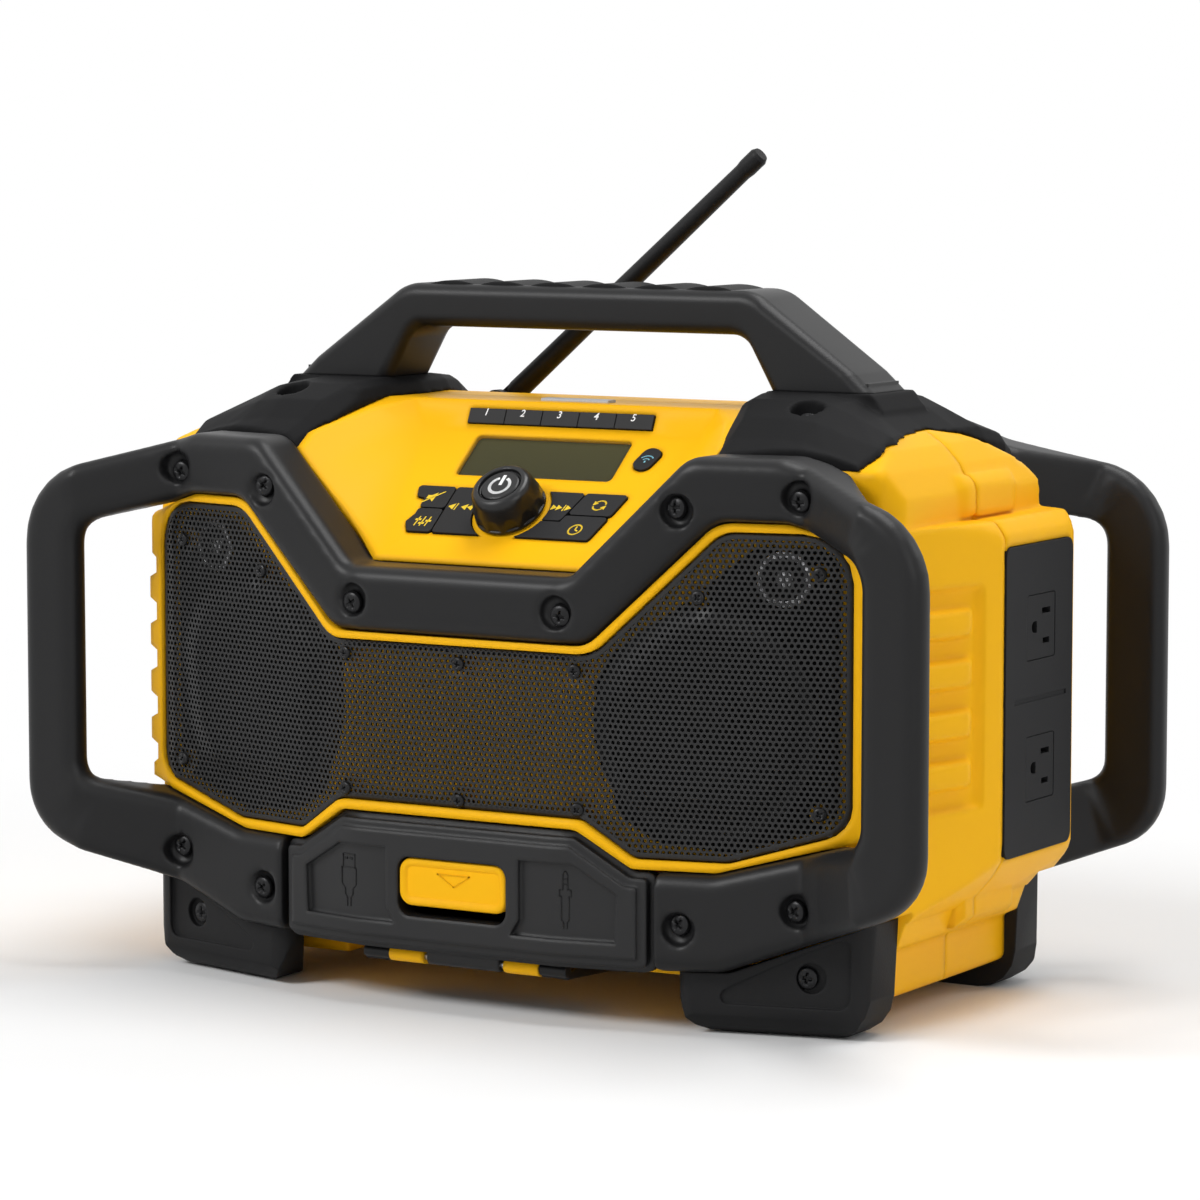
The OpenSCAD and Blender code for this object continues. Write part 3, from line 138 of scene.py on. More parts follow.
def smoothstep(low, high, at):
    t = min(max((at - low) / (high - low), 0), 1)
    return t * t * (3 - 2 * t)


def compass(steps):
    """Directions all the way round, as pairs of cosine and sine."""
    return [(math.cos(math.tau * k / steps), math.sin(math.tau * k / steps)) for k in range(steps)]


def rounded(points, steps=6):
    """Closed 2-D outline whose corners carry their radius as a third number."""
    outline = []
    for i, (x, y, r) in enumerate(points):
        here = Vector((x, y))
        before = (Vector(points[i - 1][:2]) - here).normalized()
        after = (Vector(points[(i + 1) % len(points)][:2]) - here).normalized()
        half = before.angle(after) / 2
        middle = here + (before + after).normalized() * (r / math.sin(half))
        first = here + before * (r / math.tan(half)) - middle
        last = here + after * (r / math.tan(half)) - middle
        start = math.atan2(first.y, first.x)
        turn = (math.atan2(last.y, last.x) - start + 3 * math.pi) % (2 * math.pi) - math.pi
        outline += [middle + Vector((math.cos(a), math.sin(a))) * r
                    for a in (start + turn * k / steps for k in range(steps + 1))]
    return outline


def grown(outline, by):
    """Closed outline moved outwards by a distance along its corner bisectors."""
    area = sum(a.x * b.y - b.x * a.y for a, b in zip(outline, outline[1:] + outline[:1]))
    sign = 1 if area > 0 else -1
    moved = []
    for i, here in enumerate(outline):
        d0 = (here - outline[i - 1]).normalized()
        d1 = (outline[(i + 1) % len(outline)] - here).normalized()
        n0, n1 = Vector((d0.y, -d0.x)) * sign, Vector((d1.y, -d1.x)) * sign
        way = (n0 + n1).normalized()
        moved.append(here + way * (by / max(way.dot(n0), 0.5)))
    return moved


def signed_distance(outline, x, z):
    """Distance of a point to a closed outline, negative inside."""
    best, inside = math.inf, False
    for a, b in zip(outline, outline[1:] + outline[:1]):
        ex, ez, px, pz = b.x - a.x, b.y - a.y, x - a.x, z - a.y
        length = ex * ex + ez * ez
        t = min(max((px * ex + pz * ez) / length, 0), 1) if length else 0
        best = min(best, math.hypot(px - t * ex, pz - t * ez))
        if (a.y > z) != (b.y > z) and x < a.x + (z - a.y) / (b.y - a.y) * ex:
            inside = not inside
    return -best if inside else best


GRILLE_OUTLINE = rounded(GRILLE_HALF + [(-x, z, r) for x, z, r in reversed(GRILLE_HALF)])
FIELD_OUTLINE = rounded(FIELD_HALF)


# ---- mesh helpers --------------------------------------------------------------------------------

def link(name, data):
    """A new object in the scene."""
    made = bpy.data.objects.new(name, data)
    bpy.context.scene.collection.objects.link(made)
    return made


def add_piece(name, mesh, node, finish=None, slot=None):
    """Links a finished mesh as a piece that rides with a node, in the finish of that node's slot unless a
    finish or slot is told.
    """
    piece = link(name, mesh)
    slot = slot or SLOT_OF[node]
    mesh.materials.clear()
    mesh.materials.append(finish_of(finish or slot))
    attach(piece, BODY_OF[node])
    return piece


def mesh_from(name, bm, angle=35):
    """Mesh of a bmesh, smooth across every edge that turns less than angle."""
    for face in bm.faces:
        face.smooth = True
    for edge in bm.edges:
        edge.smooth = len(edge.link_faces) == 2 and edge.calc_face_angle(0) < math.radians(angle)
    mesh = bpy.data.meshes.new(name)
    bm.to_mesh(mesh)
    bm.free()
    return mesh


def plain_mesh(item):
    """The shape of an object after its modifiers, as a mesh of its own."""
    return bpy.data.meshes.new_from_object(item.evaluated_get(bpy.context.evaluated_depsgraph_get()))


def settle(piece):
    """Turns a piece with modifiers into a plain mesh."""
    mesh = plain_mesh(piece)
    piece.modifiers.clear()
    piece.data = mesh


def discard(*helpers):
    for item in helpers:
        bpy.data.objects.remove(item)


def bridge(bm, *rings):
    """Walls of four-cornered faces between closed rings of corners."""
    for a, b in zip(rings, rings[1:]):
        for i in range(len(a)):
            j = (i + 1) % len(a)
            bm.faces.new((a[i], a[j], b[j], b[i]))


def face_front(bm, sample):
    """Makes an open skin's faces agree, and turns them all round if the sample looks to the back."""
    bmesh.ops.recalc_face_normals(bm, faces=bm.faces)
    if bm.faces[:][sample].normal.y > 0:
        bmesh.ops.reverse_faces(bm, faces=bm.faces)


def tilt(degrees):
    return Matrix.Rotation(math.radians(degrees), 4, "X")


def panel_matrix(x, up, out):
    """Frame on the control panel: local x to the right, y up the slope, z out of it."""
    return Matrix.Translation(Vector(PANEL_ORIGIN)) @ tilt(PANEL_SLOPE) @ Matrix.Translation((x, up, out))


def preset_matrix(x, up, out):
    """Frame on the steeper face that holds the preset keys."""
    return panel_matrix(0, PRESET_FOOT, 0) @ tilt(PRESET_SLOPE) @ Matrix.Translation((x, up, out))


def front_matrix(x, y, z):
    """Frame on a front face: local x to the right, y up, z towards the front."""
    return Matrix.Translation((x, y, z)) @ tilt(90)


# ---- finishes ------------------------------------------------------------------------------------

WHITE = (1, 1, 1, 1)


class Wire:
    """What comes out of a node. Sums with it add Math nodes."""

    def __init__(self, graph, socket):
        self.graph, self.socket = graph, socket

    def __add__(self, other):
        return self.graph.math("ADD", self, other)

    __radd__ = __add__

    def __sub__(self, other):
        return self.graph.math("SUBTRACT", self, other)

    def __rsub__(self, other):
        return self.graph.math("SUBTRACT", other, self)

    def __mul__(self, other):
        return self.graph.math("MULTIPLY", self, other)

    __rmul__ = __mul__

    def __truediv__(self, other):
        return self.graph.math("DIVIDE", self, other)

    def __rtruediv__(self, other):
        return self.graph.math("DIVIDE", other, self)

    def clamped(self):
        return self.graph.node("ShaderNodeClamp", {}, {0: self, 1: 0.0, 2: 1.0})


class Graph:
    """The nodes of a material or of the world."""

    def __init__(self, tree):
        self.tree = tree
        tree.nodes.clear()

    def node(self, kind, settings=None, inputs=None, out=0):
        """Adds a node: its settings first, then values or wires for its sockets. Gives one output."""
        made = self.tree.nodes.new(kind)
        for key, value in (settings or {}).items():
            setattr(made, key, value)
        self.feed(made, inputs or {})
        return Wire(self, made.outputs[out])

    def feed(self, node, inputs):
        for key, value in inputs.items():
            if isinstance(value, Wire):
                self.tree.links.new(value.socket, node.inputs[key])
            else:
                node.inputs[key].default_value = value

    def math(self, operation, *values):
        return self.node("ShaderNodeMath", {"operation": operation}, dict(enumerate(values)))

    def seen_plainly(self):
        """1 for rays that show the surround: the camera's own, mirrored and passed-through ones."""
        rays = self.tree.nodes.new("ShaderNodeLightPath").outputs
        own, mirrored, through = (Wire(self, rays[f"Is {kind} Ray"])
                                  for kind in ("Camera", "Glossy", "Transmission"))
        return self.math("MAXIMUM", self.math("MAXIMUM", own, mirrored), through)


class Finish(Graph):
    """A node material with one Principled surface."""

    def __init__(self, name):
        self.material = bpy.data.materials.new(name)
        self.material.use_nodes = True
        super().__init__(self.material.node_tree)
        self.principled = self.tree.nodes.new("ShaderNodeBsdfPrincipled")
        self.output = self.tree.nodes.new("ShaderNodeOutputMaterial")
        self.feed(self.output, {"Surface": Wire(self, self.principled.outputs[0])})

    def place(self, stretch=(1, 1, 1)):
        """Object coordinates in metres. A pattern is finer along an axis that is stretched more."""
        where = self.node("ShaderNodeTexCoord", out="Object")
        if stretch == (1, 1, 1):
            return where
        return self.node("ShaderNodeMapping", {}, {"Vector": where, "Scale": stretch})

    def noise(self, scale, detail=2.0, roughness=0.5, stretch=(1, 1, 1)):
        return self.node("ShaderNodeTexNoise", {}, {"Vector": self.place(stretch), "Scale": scale,
                                                    "Detail": detail, "Roughness": roughness})

    def cells(self, scale):
        return self.node("ShaderNodeTexVoronoi", {}, {"Vector": self.place(), "Scale": scale})

    def stripes(self, scale):
        return self.node("ShaderNodeTexWave", {"bands_direction": "X"},
                         {"Vector": self.place(), "Scale": scale})

    def soft_edges(self, radius):
        """Normal that rounds sharp edges, radius in millimetres."""
        return self.node("ShaderNodeBevel", {"samples": 6}, {"Radius": radius * MM})

    def edge_mask(self, rounded_normal):
        """0 on flats, rising to 1 where the rounded normal leaves the true one."""
        true_normal = self.node("ShaderNodeNewGeometry", out="Normal")
        along = self.node("ShaderNodeVectorMath", {"operation": "DOT_PRODUCT"},
                          {0: rounded_normal, 1: true_normal}, out="Value")
        return ((1 - along) * 4).clamped()

    def mix(self, factor, first, second):
        """Colour between two colours."""
        return self.node("ShaderNodeMix", {"data_type": "RGBA"},
                         {"Factor": factor, 6: self.colour(first), 7: self.colour(second)}, out=2)

    @staticmethod
    def colour(value):
        return value if isinstance(value, Wire) else (*value, 1.0)

    def bump(self, height, distance, normal=None):
        """Bump of a height, its full depth in millimetres."""
        inputs = {"Height": height, "Distance": distance * MM, "Strength": 1.0}
        if normal is not None:
            inputs["Normal"] = normal
        return self.node("ShaderNodeBump", {}, inputs)

    def surface(self, gloss=0.3, **inputs):
        """Wires the surface up. Gloss is the strength of the plain reflection, 0.5 for glass."""
        self.principled.inputs["Specular IOR Level"].default_value = gloss
        self.feed(self.principled, {key.replace("_", " "): value for key, value in inputs.items()})


def tint(name):
    """A colour that the user sets."""
    return tuple(getattr(bpy.context.scene.radio_colours, name))


def shade(colour, by):
    """A colour made darker or lighter by a factor."""
    return tuple(min(c * by, 1.0) for c in colour)


def grey(level, blue=0.0):
    return (level, level, level + blue)


def moulded(f, colour, lightness, edge_radius, grain_scale, grain_depth, roughness, mottling, wear_and_highlight, gloss):
    """Injection-moulded plastic: spark-eroded grain, faint flow mottling, and edges made lighter as wear and
    as painted highlight.
    """
    colour = shade(tint(colour), lightness)
    soft = f.soft_edges(edge_radius)
    edge = f.edge_mask(soft)
    cloud = f.noise(16, 3)
    flow = f.noise(5, 2, stretch=(1, 1, 3))
    grain = f.noise(grain_scale, 2, 0.6) * 0.7 + f.cells(grain_scale * 0.6) * 0.3
    base = f.mix(cloud * 0.6 + flow * 0.4, shade(colour, 1 - mottling), shade(colour, 1 + mottling))
    # edges made lighter as wear, and as a painted highlight where rounded edges catch the light
    worn_and_highlit = f.mix(edge * 0.5, base, shade(colour, wear_and_highlight))
    f.surface(gloss, Base_Color=worn_and_highlit, Roughness=roughness + cloud * 0.1 - edge * 0.06,
              Normal=f.bump(grain, grain_depth, soft))


def soft_rubber(f, lightness, edge_radius, roughness):
    """Matt elastomer with a fine pebbled skin and a trace of dust in the pores."""
    colour = shade(tint("black"), lightness)
    soft = f.soft_edges(edge_radius)
    pebble = f.cells(900)
    dust = f.noise(30, 4)
    base = f.mix((dust * 1.6 - 0.5).clamped() * 0.35, colour, shade(colour, 2.0))
    f.surface(0.2, Base_Color=base, Roughness=roughness + dust * 0.12, Normal=f.bump(pebble, 0.03, soft))


def brushed(f, dark, light, roughness, stretch):
    """Bare metal with a lengthwise brushed grain."""
    lines = f.noise(700, 3, 0.6, stretch=stretch)
    f.surface(Base_Color=f.mix(lines, dark, light), Metallic=1.0, Roughness=roughness + lines * 0.15,
              Normal=f.bump(lines, 0.01, f.soft_edges(0.3)))


def ink(f, name):
    """Printed mark, a little uneven where it was laid on."""
    patchy = f.noise(900, 3)
    f.surface(Base_Color=f.mix(patchy, shade(tint(name), 0.86), tint(name)), Roughness=0.4 + patchy * 0.15,
              Normal=f.bump(patchy, 0.01))


def screw_zinc(f):
    """Black zinc on steel: metallic, with a driver's bright scuffs on the edges of the recess."""
    soft = f.soft_edges(0.35)
    edge = f.edge_mask(soft)
    scuffs = (f.noise(240, 3) * 2 - 0.7).clamped()
    turned = f.noise(90, 2, stretch=(1, 1, 6))
    f.surface(0.3, Base_Color=f.mix(edge * scuffs * 0.6, grey(0.013, 0.001), grey(0.3, 0.01)), Metallic=0.4,
              Roughness=0.26 + turned * 0.12, Normal=f.bump(turned, 0.01, soft))


def powder_coat(f):
    """Paint on punched steel: slight orange peel, and patches of dust."""
    soft = f.soft_edges(0.18)
    peel = f.noise(700, 2)
    dust = f.noise(22, 4)
    f.surface(0.3, Base_Color=f.mix(dust * 0.5, tint("grille"), shade(tint("grille"), 1.25)), Metallic=0.15,
              Roughness=0.4 + peel * 0.1, Normal=f.bump(peel, 0.03, soft))


def cast_basket(f):
    """Painted frame and magnet of a speaker."""
    soft = f.soft_edges(0.5)
    cast = f.noise(400, 3)
    f.surface(Base_Color=f.mix(cast, grey(0.010, 0.001), grey(0.020, 0.001)), Roughness=0.5 + cast * 0.1,
              Normal=f.bump(cast, 0.03, soft))


def pressed_paper(f):
    """Speaker cone with long fibres."""
    fibre = f.noise(260, 4, 0.7, stretch=(1, 0.3, 3))
    f.surface(Base_Color=f.mix(fibre, grey(0.005), grey(0.016)), Roughness=0.62 + fibre * 0.2,
              Normal=f.bump(fibre, 0.08, f.soft_edges(0.4)))


def window_glass(f):
    """Clear window: nearly invisible face-on, glossy at a glancing look."""
    smear = f.noise(38, 4)
    f.surface(0.25, Base_Color=f.mix(smear, (0.04, 0.04, 0.035), (0.07, 0.07, 0.06)),
              Alpha=0.1 + smear * 0.05, Roughness=0.04 + smear * 0.05,
              Normal=f.bump(smear, 0.02, f.soft_edges(0.3)))


def crystal_cell(f):
    """Liquid crystal cell that is switched off: olive grey with a fine pixel raster, and painted light and
    shade that make it darker low down and lighter at its top.
    """
    height = f.node("ShaderNodeSeparateXYZ", {}, {0: f.place()}, out="Z")
    # painted shade low on the cell, painted light at its top
    painted_light_fade = ((height - 0.222) / 0.02).clamped()
    raster = f.stripes(420)
    base = f.mix(painted_light_fade, shade(tint("display"), 0.72), shade(tint("display"), 1.1))
    f.surface(0.08, Base_Color=f.mix(raster * 0.12, base, shade(tint("display"), 0.6)),
              Roughness=0.3 + raster * 0.06)


def frosted_lens(f):
    """Light diffuser of the small lamp."""
    frost = f.noise(1200, 2)
    f.surface(Base_Color=f.mix(frost, (0.45, 0.46, 0.48), (0.62, 0.64, 0.66)), Roughness=0.3 + frost * 0.15,
              Normal=f.bump(frost, 0.02, f.soft_edges(0.4)))


def solder_mask(f):
    """Green board with its tracks just showing."""
    tracks = f.node("ShaderNodeTexBrick", {"offset": 0.5}, {
        "Vector": f.place(), "Color1": (0.02, 0.11, 0.05, 1), "Color2": (0.015, 0.085, 0.04, 1),
        "Mortar": (0.03, 0.17, 0.08, 1), "Scale": 160.0, "Mortar Size": 0.03})
    f.surface(Base_Color=tracks, Roughness=0.28 + f.noise(300) * 0.1, Normal=f.bump(f.noise(500), 0.02))


def iron_stack(f):
    """Stacked plates of a transformer."""
    plates = f.stripes(300)
    f.surface(Base_Color=f.mix(plates, grey(0.05, 0.005), grey(0.12, 0.01)), Metallic=0.6,
              Roughness=0.4 + plates * 0.15, Normal=f.bump(plates, 0.05, f.soft_edges(0.6)))


def painted_shade_felt(f):
    """Dark felt that stands for the shadow behind the perforated front: painted shade."""
    fuzz = f.noise(500, 4, 0.7)
    f.surface(0.1, Base_Color=f.mix(fuzz, grey(0.004), grey(0.014)), Roughness=0.85 + fuzz * 0.1,
              Normal=f.bump(fuzz, 0.1))


def stage_paper(f):
    """Matt paper that takes the shadow near the object and turns plain white further out."""
    fleck = f.noise(40, 2)
    f.surface(0.1, Base_Color=f.mix(fleck, shade(tint("floor"), 0.995), tint("floor")), Roughness=0.9)
    reach = f.node("ShaderNodeVectorMath", {"operation": "LENGTH"}, {0: f.place()}, out="Value")
    far = f.node("ShaderNodeMapRange", {"interpolation_type": "SMOOTHSTEP"}, {0: reach, 1: 0.3, 2: 0.75})
    shown = f.seen_plainly() * far
    white = f.node("ShaderNodeEmission", {}, {"Color": WHITE, "Strength": 1.0})
    paper = Wire(f, f.principled.outputs[0])
    f.feed(f.output, {"Surface": f.node("ShaderNodeMixShader", {}, {0: shown, 1: paper, 2: white})})


# Each finish's maker and what it takes. A plastic takes its colour, how much lighter than that it is, edge
# radius, grains per metre, grain depth, roughness, mottling, how much lighter its edges are as wear and as
# painted highlight, and gloss.
# A rubber takes how much lighter than black it is, edge radius and roughness.
RECIPES = {
    "yellow_plastic": (moulded, "yellow", 1, 4.5, 1500, 0.022, 0.36, 0.03, 1.05, 0.1),
    "black_plastic": (moulded, "black", 1, 1.4, 1300, 0.035, 0.35, 0.12, 1.7, 0.25),
    "door_plastic": (moulded, "black", 1.15, 2.6, 1300, 0.035, 0.36, 0.12, 1.9, 0.34),
    "shoulder_plastic": (moulded, "black", 1, 0.6, 1100, 0.05, 0.58, 0.12, 1.4, 0.08),
    "outlet_plastic": (moulded, "black", 1.7, 0.7, 1300, 0.03, 0.5, 0.1, 1.5, 0.11),
    "knob_plastic": (moulded, "black", 0.75, 0.7, 1700, 0.015, 0.24, 0.1, 2.2, 0.4),
    "connector": (moulded, "black", 0.8, 0.4, 1500, 0.02, 0.42, 0.1, 1.6, 0.22),
    "foot_rubber": (soft_rubber, 0.9, 1.2, 0.52),
    "grip_rubber": (soft_rubber, 0.8, 1.0, 0.58),
    "button_rubber": (soft_rubber, 1.5, 0.5, 0.5),
    "antenna_rubber": (soft_rubber, 0.75, 0.4, 0.42),
    "tweeter_trim": (brushed, grey(0.5, 0.02), grey(0.8, 0.02), 0.2, (1, 1, 6)),
    "bare_steel": (brushed, grey(0.32, 0.02), grey(0.5, 0.02), 0.25, (0.1, 4, 4)),
    "legend_yellow": (ink, "legend_yellow"),
    "legend_white": (ink, "legend_white"),
    "legend_blue": (ink, "legend_blue"),
    "black_screw": (screw_zinc,),
    "grille_paint": (powder_coat,),
    "speaker_basket": (cast_basket,),
    "speaker_cone": (pressed_paper,),
    "display_glass": (window_glass,),
    "display_cell": (crystal_cell,),
    "lamp_lens": (frosted_lens,),
    "circuit_board": (solder_mask,),
    "transformer": (iron_stack,),
    # the felt is a dark sheet of painted shade behind the grille
    "felt": (painted_shade_felt,),
    "stage_paper": (stage_paper,),
}
# the other slots' finishes go by the slot's name
SLOT_FINISHES = {"yellow_housing": "yellow_plastic", "black_guard": "black_plastic"}
finishes = {}


def finish_of(slot):
    """The material of a slot or a finish, made once."""
    name = SLOT_FINISHES.get(slot, slot)
    if name not in finishes:
        maker, *numbers = RECIPES[name]
        finish = Finish(name)
        maker(finish, *numbers)
        finishes[name] = finish.material
    return finishes[name]


# ---- mouldings -----------------------------------------------------------------------------------

# pieces whose finish isn't their slot's
OWN_FINISHES = {"storage_door": "door_plastic", "outlet_panel": "outlet_plastic",
                "receptacle": "outlet_plastic", "shoulder_left": "shoulder_plastic",
                "shoulder_right": "shoulder_plastic"}
# pieces that are rounded over: size of the skin's cells, passes of relaxing
SOFTENED = {"front_cage": (1.3, 8), "rear_cage": (1.3, 8),
            "shoulder_left": (1.0, 5), "shoulder_right": (1.0, 5)}


def dome_share(co):
    """1 on a housing's side domes and the top of the tier under them, less on its ribs, and 0 elsewhere."""
    x, y, z = co / MM
    top = smoothstep(*DOME_ACROSS, abs(x)) * smoothstep(*DOME_UP, z)
    if y >= PARTING:
        return top
    ribs = smoothstep(*RIBS_ACROSS, abs(x)) * smoothstep(*RIBS_ALONG, y) * smoothstep(*RIBS_UP, z)
    return max(top, RIB_SHARE * ribs)


def round_domes(bm, spacing=2.4, halvings=7, passes=9):
    """Splits the domes' large flat faces up and relaxes them, so their corners round off. Corners on the
    parting plane stay on it."""
    bmesh.ops.dissolve_limit(bm, angle_limit=math.radians(1), verts=bm.verts, edges=bm.edges)
    for _ in range(halvings):
        bmesh.ops.triangulate(bm, faces=[face for face in bm.faces if len(face.verts) > 3])
        long = [edge for edge in bm.edges if edge.calc_length() > spacing * MM
                and any(dome_share(vert.co) > 0 for vert in edge.verts)]
        if not long:
            break
        bmesh.ops.subdivide_edges(bm, edges=long, cuts=1)
    bmesh.ops.triangulate(bm, faces=[face for face in bm.faces if len(face.verts) > 3])
    moving = [(vert, dome_share(vert.co), [edge.other_vert(vert) for edge in vert.link_edges],
               abs(vert.co.y) < PARTING * MM) for vert in bm.verts if dome_share(vert.co) > 0]
    for _ in range(passes):
        places = [vert.co.lerp(sum((other.co for other in near), Vector()) / len(near), 0.5 * share)
                  for vert, share, near, _ in moving]
        for (vert, _, _, parting), place in zip(moving, places):
            vert.co = (place.x, vert.co.y, place.z) if parting else place


def smooth_copy(node):
    """Merged copy of a node's loose triangles, smooth over its curves and crisp at its edges."""
    bm = bmesh.new()
    bm.from_mesh(frame["nodes"][node].data)
    bmesh.ops.remove_doubles(bm, verts=bm.verts, dist=WELD)
    bmesh.ops.dissolve_degenerate(bm, dist=1e-7, edges=bm.edges)
    if node in ("front_housing", "rear_housing"):
        round_domes(bm)
    piece = add_piece(node + "_skin", mesh_from(node + "_skin", bm, 32), node, OWN_FINISHES.get(node))
    weighted = piece.modifiers.new("Weighted", "WEIGHTED_NORMAL")
    weighted.keep_sharp = True
    weighted.weight = 80
    settle(piece)
    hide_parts(node)
    return piece


def soften(piece, voxel, passes):
    """Turns a moulding into an even skin and relaxes it, so its edges and corners round off."""
    skin = piece.modifiers.new("Skin", "REMESH")
    skin.mode, skin.voxel_size, skin.use_smooth_shade = "VOXEL", voxel * MM, True
    relax = piece.modifiers.new("Relax", "SMOOTH")
    relax.factor, relax.iterations = 0.5, passes
    settle(piece)


def repaint(piece, finish, chosen):
    """Gives a second finish to the faces whose middle is chosen."""
    piece.data.materials.append(finish_of(finish))
    for face in piece.data.polygons:
        if chosen(*(face.center / MM)):
            face.material_index = 1


def on_knuckle(x, y, z):
    """The two hinge knuckles that belong to the housing are yellow."""
    return KNUCKLE_SPAN[0] < abs(x) < KNUCKLE_SPAN[1] and y < KNUCKLE_FRONT


def on_tweeter_painted_shade(x, y, z):
    """Painted shade on a tweeter between the dome's tip and its outer ring, so only those two stay bright, as
    highlights.
    """
    return TWEETER_PAINTED_SHADE[0] < math.hypot(abs(x) - TWEETER[0], z - TWEETER[1]) < TWEETER_PAINTED_SHADE[1]


# ---- speaker grille ------------------------------------------------------------------------------

def grille_form(x, z, sizes):
    """Distance of the grille's face ahead of the middle: the bowed sheet, raised in front of each woofer
    and dished round each screw."""
    raised = 1 - smoothstep(-9, 4, signed_distance(FIELD_OUTLINE, abs(x), z))
    near = min(math.hypot(abs(x) - sx, z - sz) for sx, sz in GRILLE_SCREWS)
    level = sizes.base_rise + raised * sizes.field_rise
    return lookup(LIP_BOW, abs(x)) - GRILLE_DEPTH + level * smoothstep(*SCREW_DISH, near)


def form_mesh(sizes, step=2.2):
    """Plain grid with the grille's form, for the punched sheet to follow."""
    bm = bmesh.new()
    width, height = GRILLE_SPAN
    xs = [-width / 2 + step * i for i in range(int(width / step) + 2)]
    zs = [GRILLE_MIDDLE - height / 2 + step * i for i in range(int(height / step) + 2)]
    rows = [[bm.verts.new((x * MM, -grille_form(x, z, sizes) * MM, z * MM)) for x in xs] for z in zs]
    for low, high in zip(rows, rows[1:]):
        for i in range(len(xs) - 1):
            bm.faces.new((low[i], low[i + 1], high[i + 1], high[i]))
    return mesh_from("grille_form", bm)


def outline_mesh(outline):
    bm = bmesh.new()
    bm.faces.new([bm.verts.new((p.x * MM, 0, p.y * MM)) for p in outline])
    return mesh_from("grille_outline", bm)


def tile_mesh(pitch, hole):
    """One six-sided cell of the punched sheet: a ring round its hole, with the hole's wall."""
    bm = bmesh.new()
    rings = [[bm.verts.new((reach * math.cos(a), depth, reach * math.sin(a)))
              for a in (math.radians(60 * i + 30) for i in range(6))]
             for reach, depth in ((pitch / math.sqrt(3), 0), (hole, 0), (hole, HOLE_WALL))]
    bridge(bm, *rings)
    bmesh.ops.scale(bm, vec=(MM, MM, MM), verts=bm.verts)
    return mesh_from("grille_tile", bm, 80)


class Nodes:
    """Builds a Geometry Nodes tree with named inputs."""

    def __init__(self, name, inputs):
        self.tree = bpy.data.node_groups.new(name, "GeometryNodeTree")
        self.identifiers = {}
        for label, kind in {"Geometry": "Geometry", **inputs, "Material": "Material"}.items():
            socket = self.tree.interface.new_socket(label, in_out="INPUT", socket_type="NodeSocket" + kind)
            self.identifiers[label] = socket.identifier
        self.tree.interface.new_socket("Geometry", in_out="OUTPUT", socket_type="NodeSocketGeometry")
        self.given = self.tree.nodes.new("NodeGroupInput").outputs
        self.result = self.tree.nodes.new("NodeGroupOutput")

    def add(self, kind, settings=None, inputs=None, out=0):
        """Adds a node: its settings, then values or sockets for its inputs. Gives one output or a slice."""
        made = self.tree.nodes.new(kind)
        for key, value in (settings or {}).items():
            setattr(made, key, value)
        for key, value in (inputs or {}).items():
            for one in value if isinstance(value, list) else [value]:
                if isinstance(one, bpy.types.NodeSocket):
                    self.tree.links.new(one, made.inputs[key])
                else:
                    made.inputs[key].default_value = one
        return made.outputs[out]

    def math(self, operation, a, b=0):
        return self.add("ShaderNodeMath", {"operation": operation}, {0: a, 1: b})

    def vector(self, x, y, z):
        return self.add("ShaderNodeCombineXYZ", {}, {0: x, 1: y, 2: z})

    def shape_of(self, label):
        """The shape of the object that an input names."""
        return self.add("GeometryNodeObjectInfo", {}, {"Object": self.given[label]}, "Geometry")

    def finish(self, geometry):
        """Every tree ends in real geometry with its material."""
        real = self.add("GeometryNodeRealizeInstances", {}, {"Geometry": geometry})
        dressed = self.add("GeometryNodeSetMaterial", {},
                           {"Geometry": real, "Material": self.given["Material"]})
        self.tree.links.new(dressed, self.result.inputs[0])

    def run(self, host, values):
        """Applies the tree to a host object and gives the plain mesh."""
        modifier = host.modifiers.new("Nodes", "NODES")
        modifier.node_group = self.tree
        for label, value in values.items():
            modifier[self.identifiers[label]] = value
        host.update_tag()
        return plain_mesh(host)


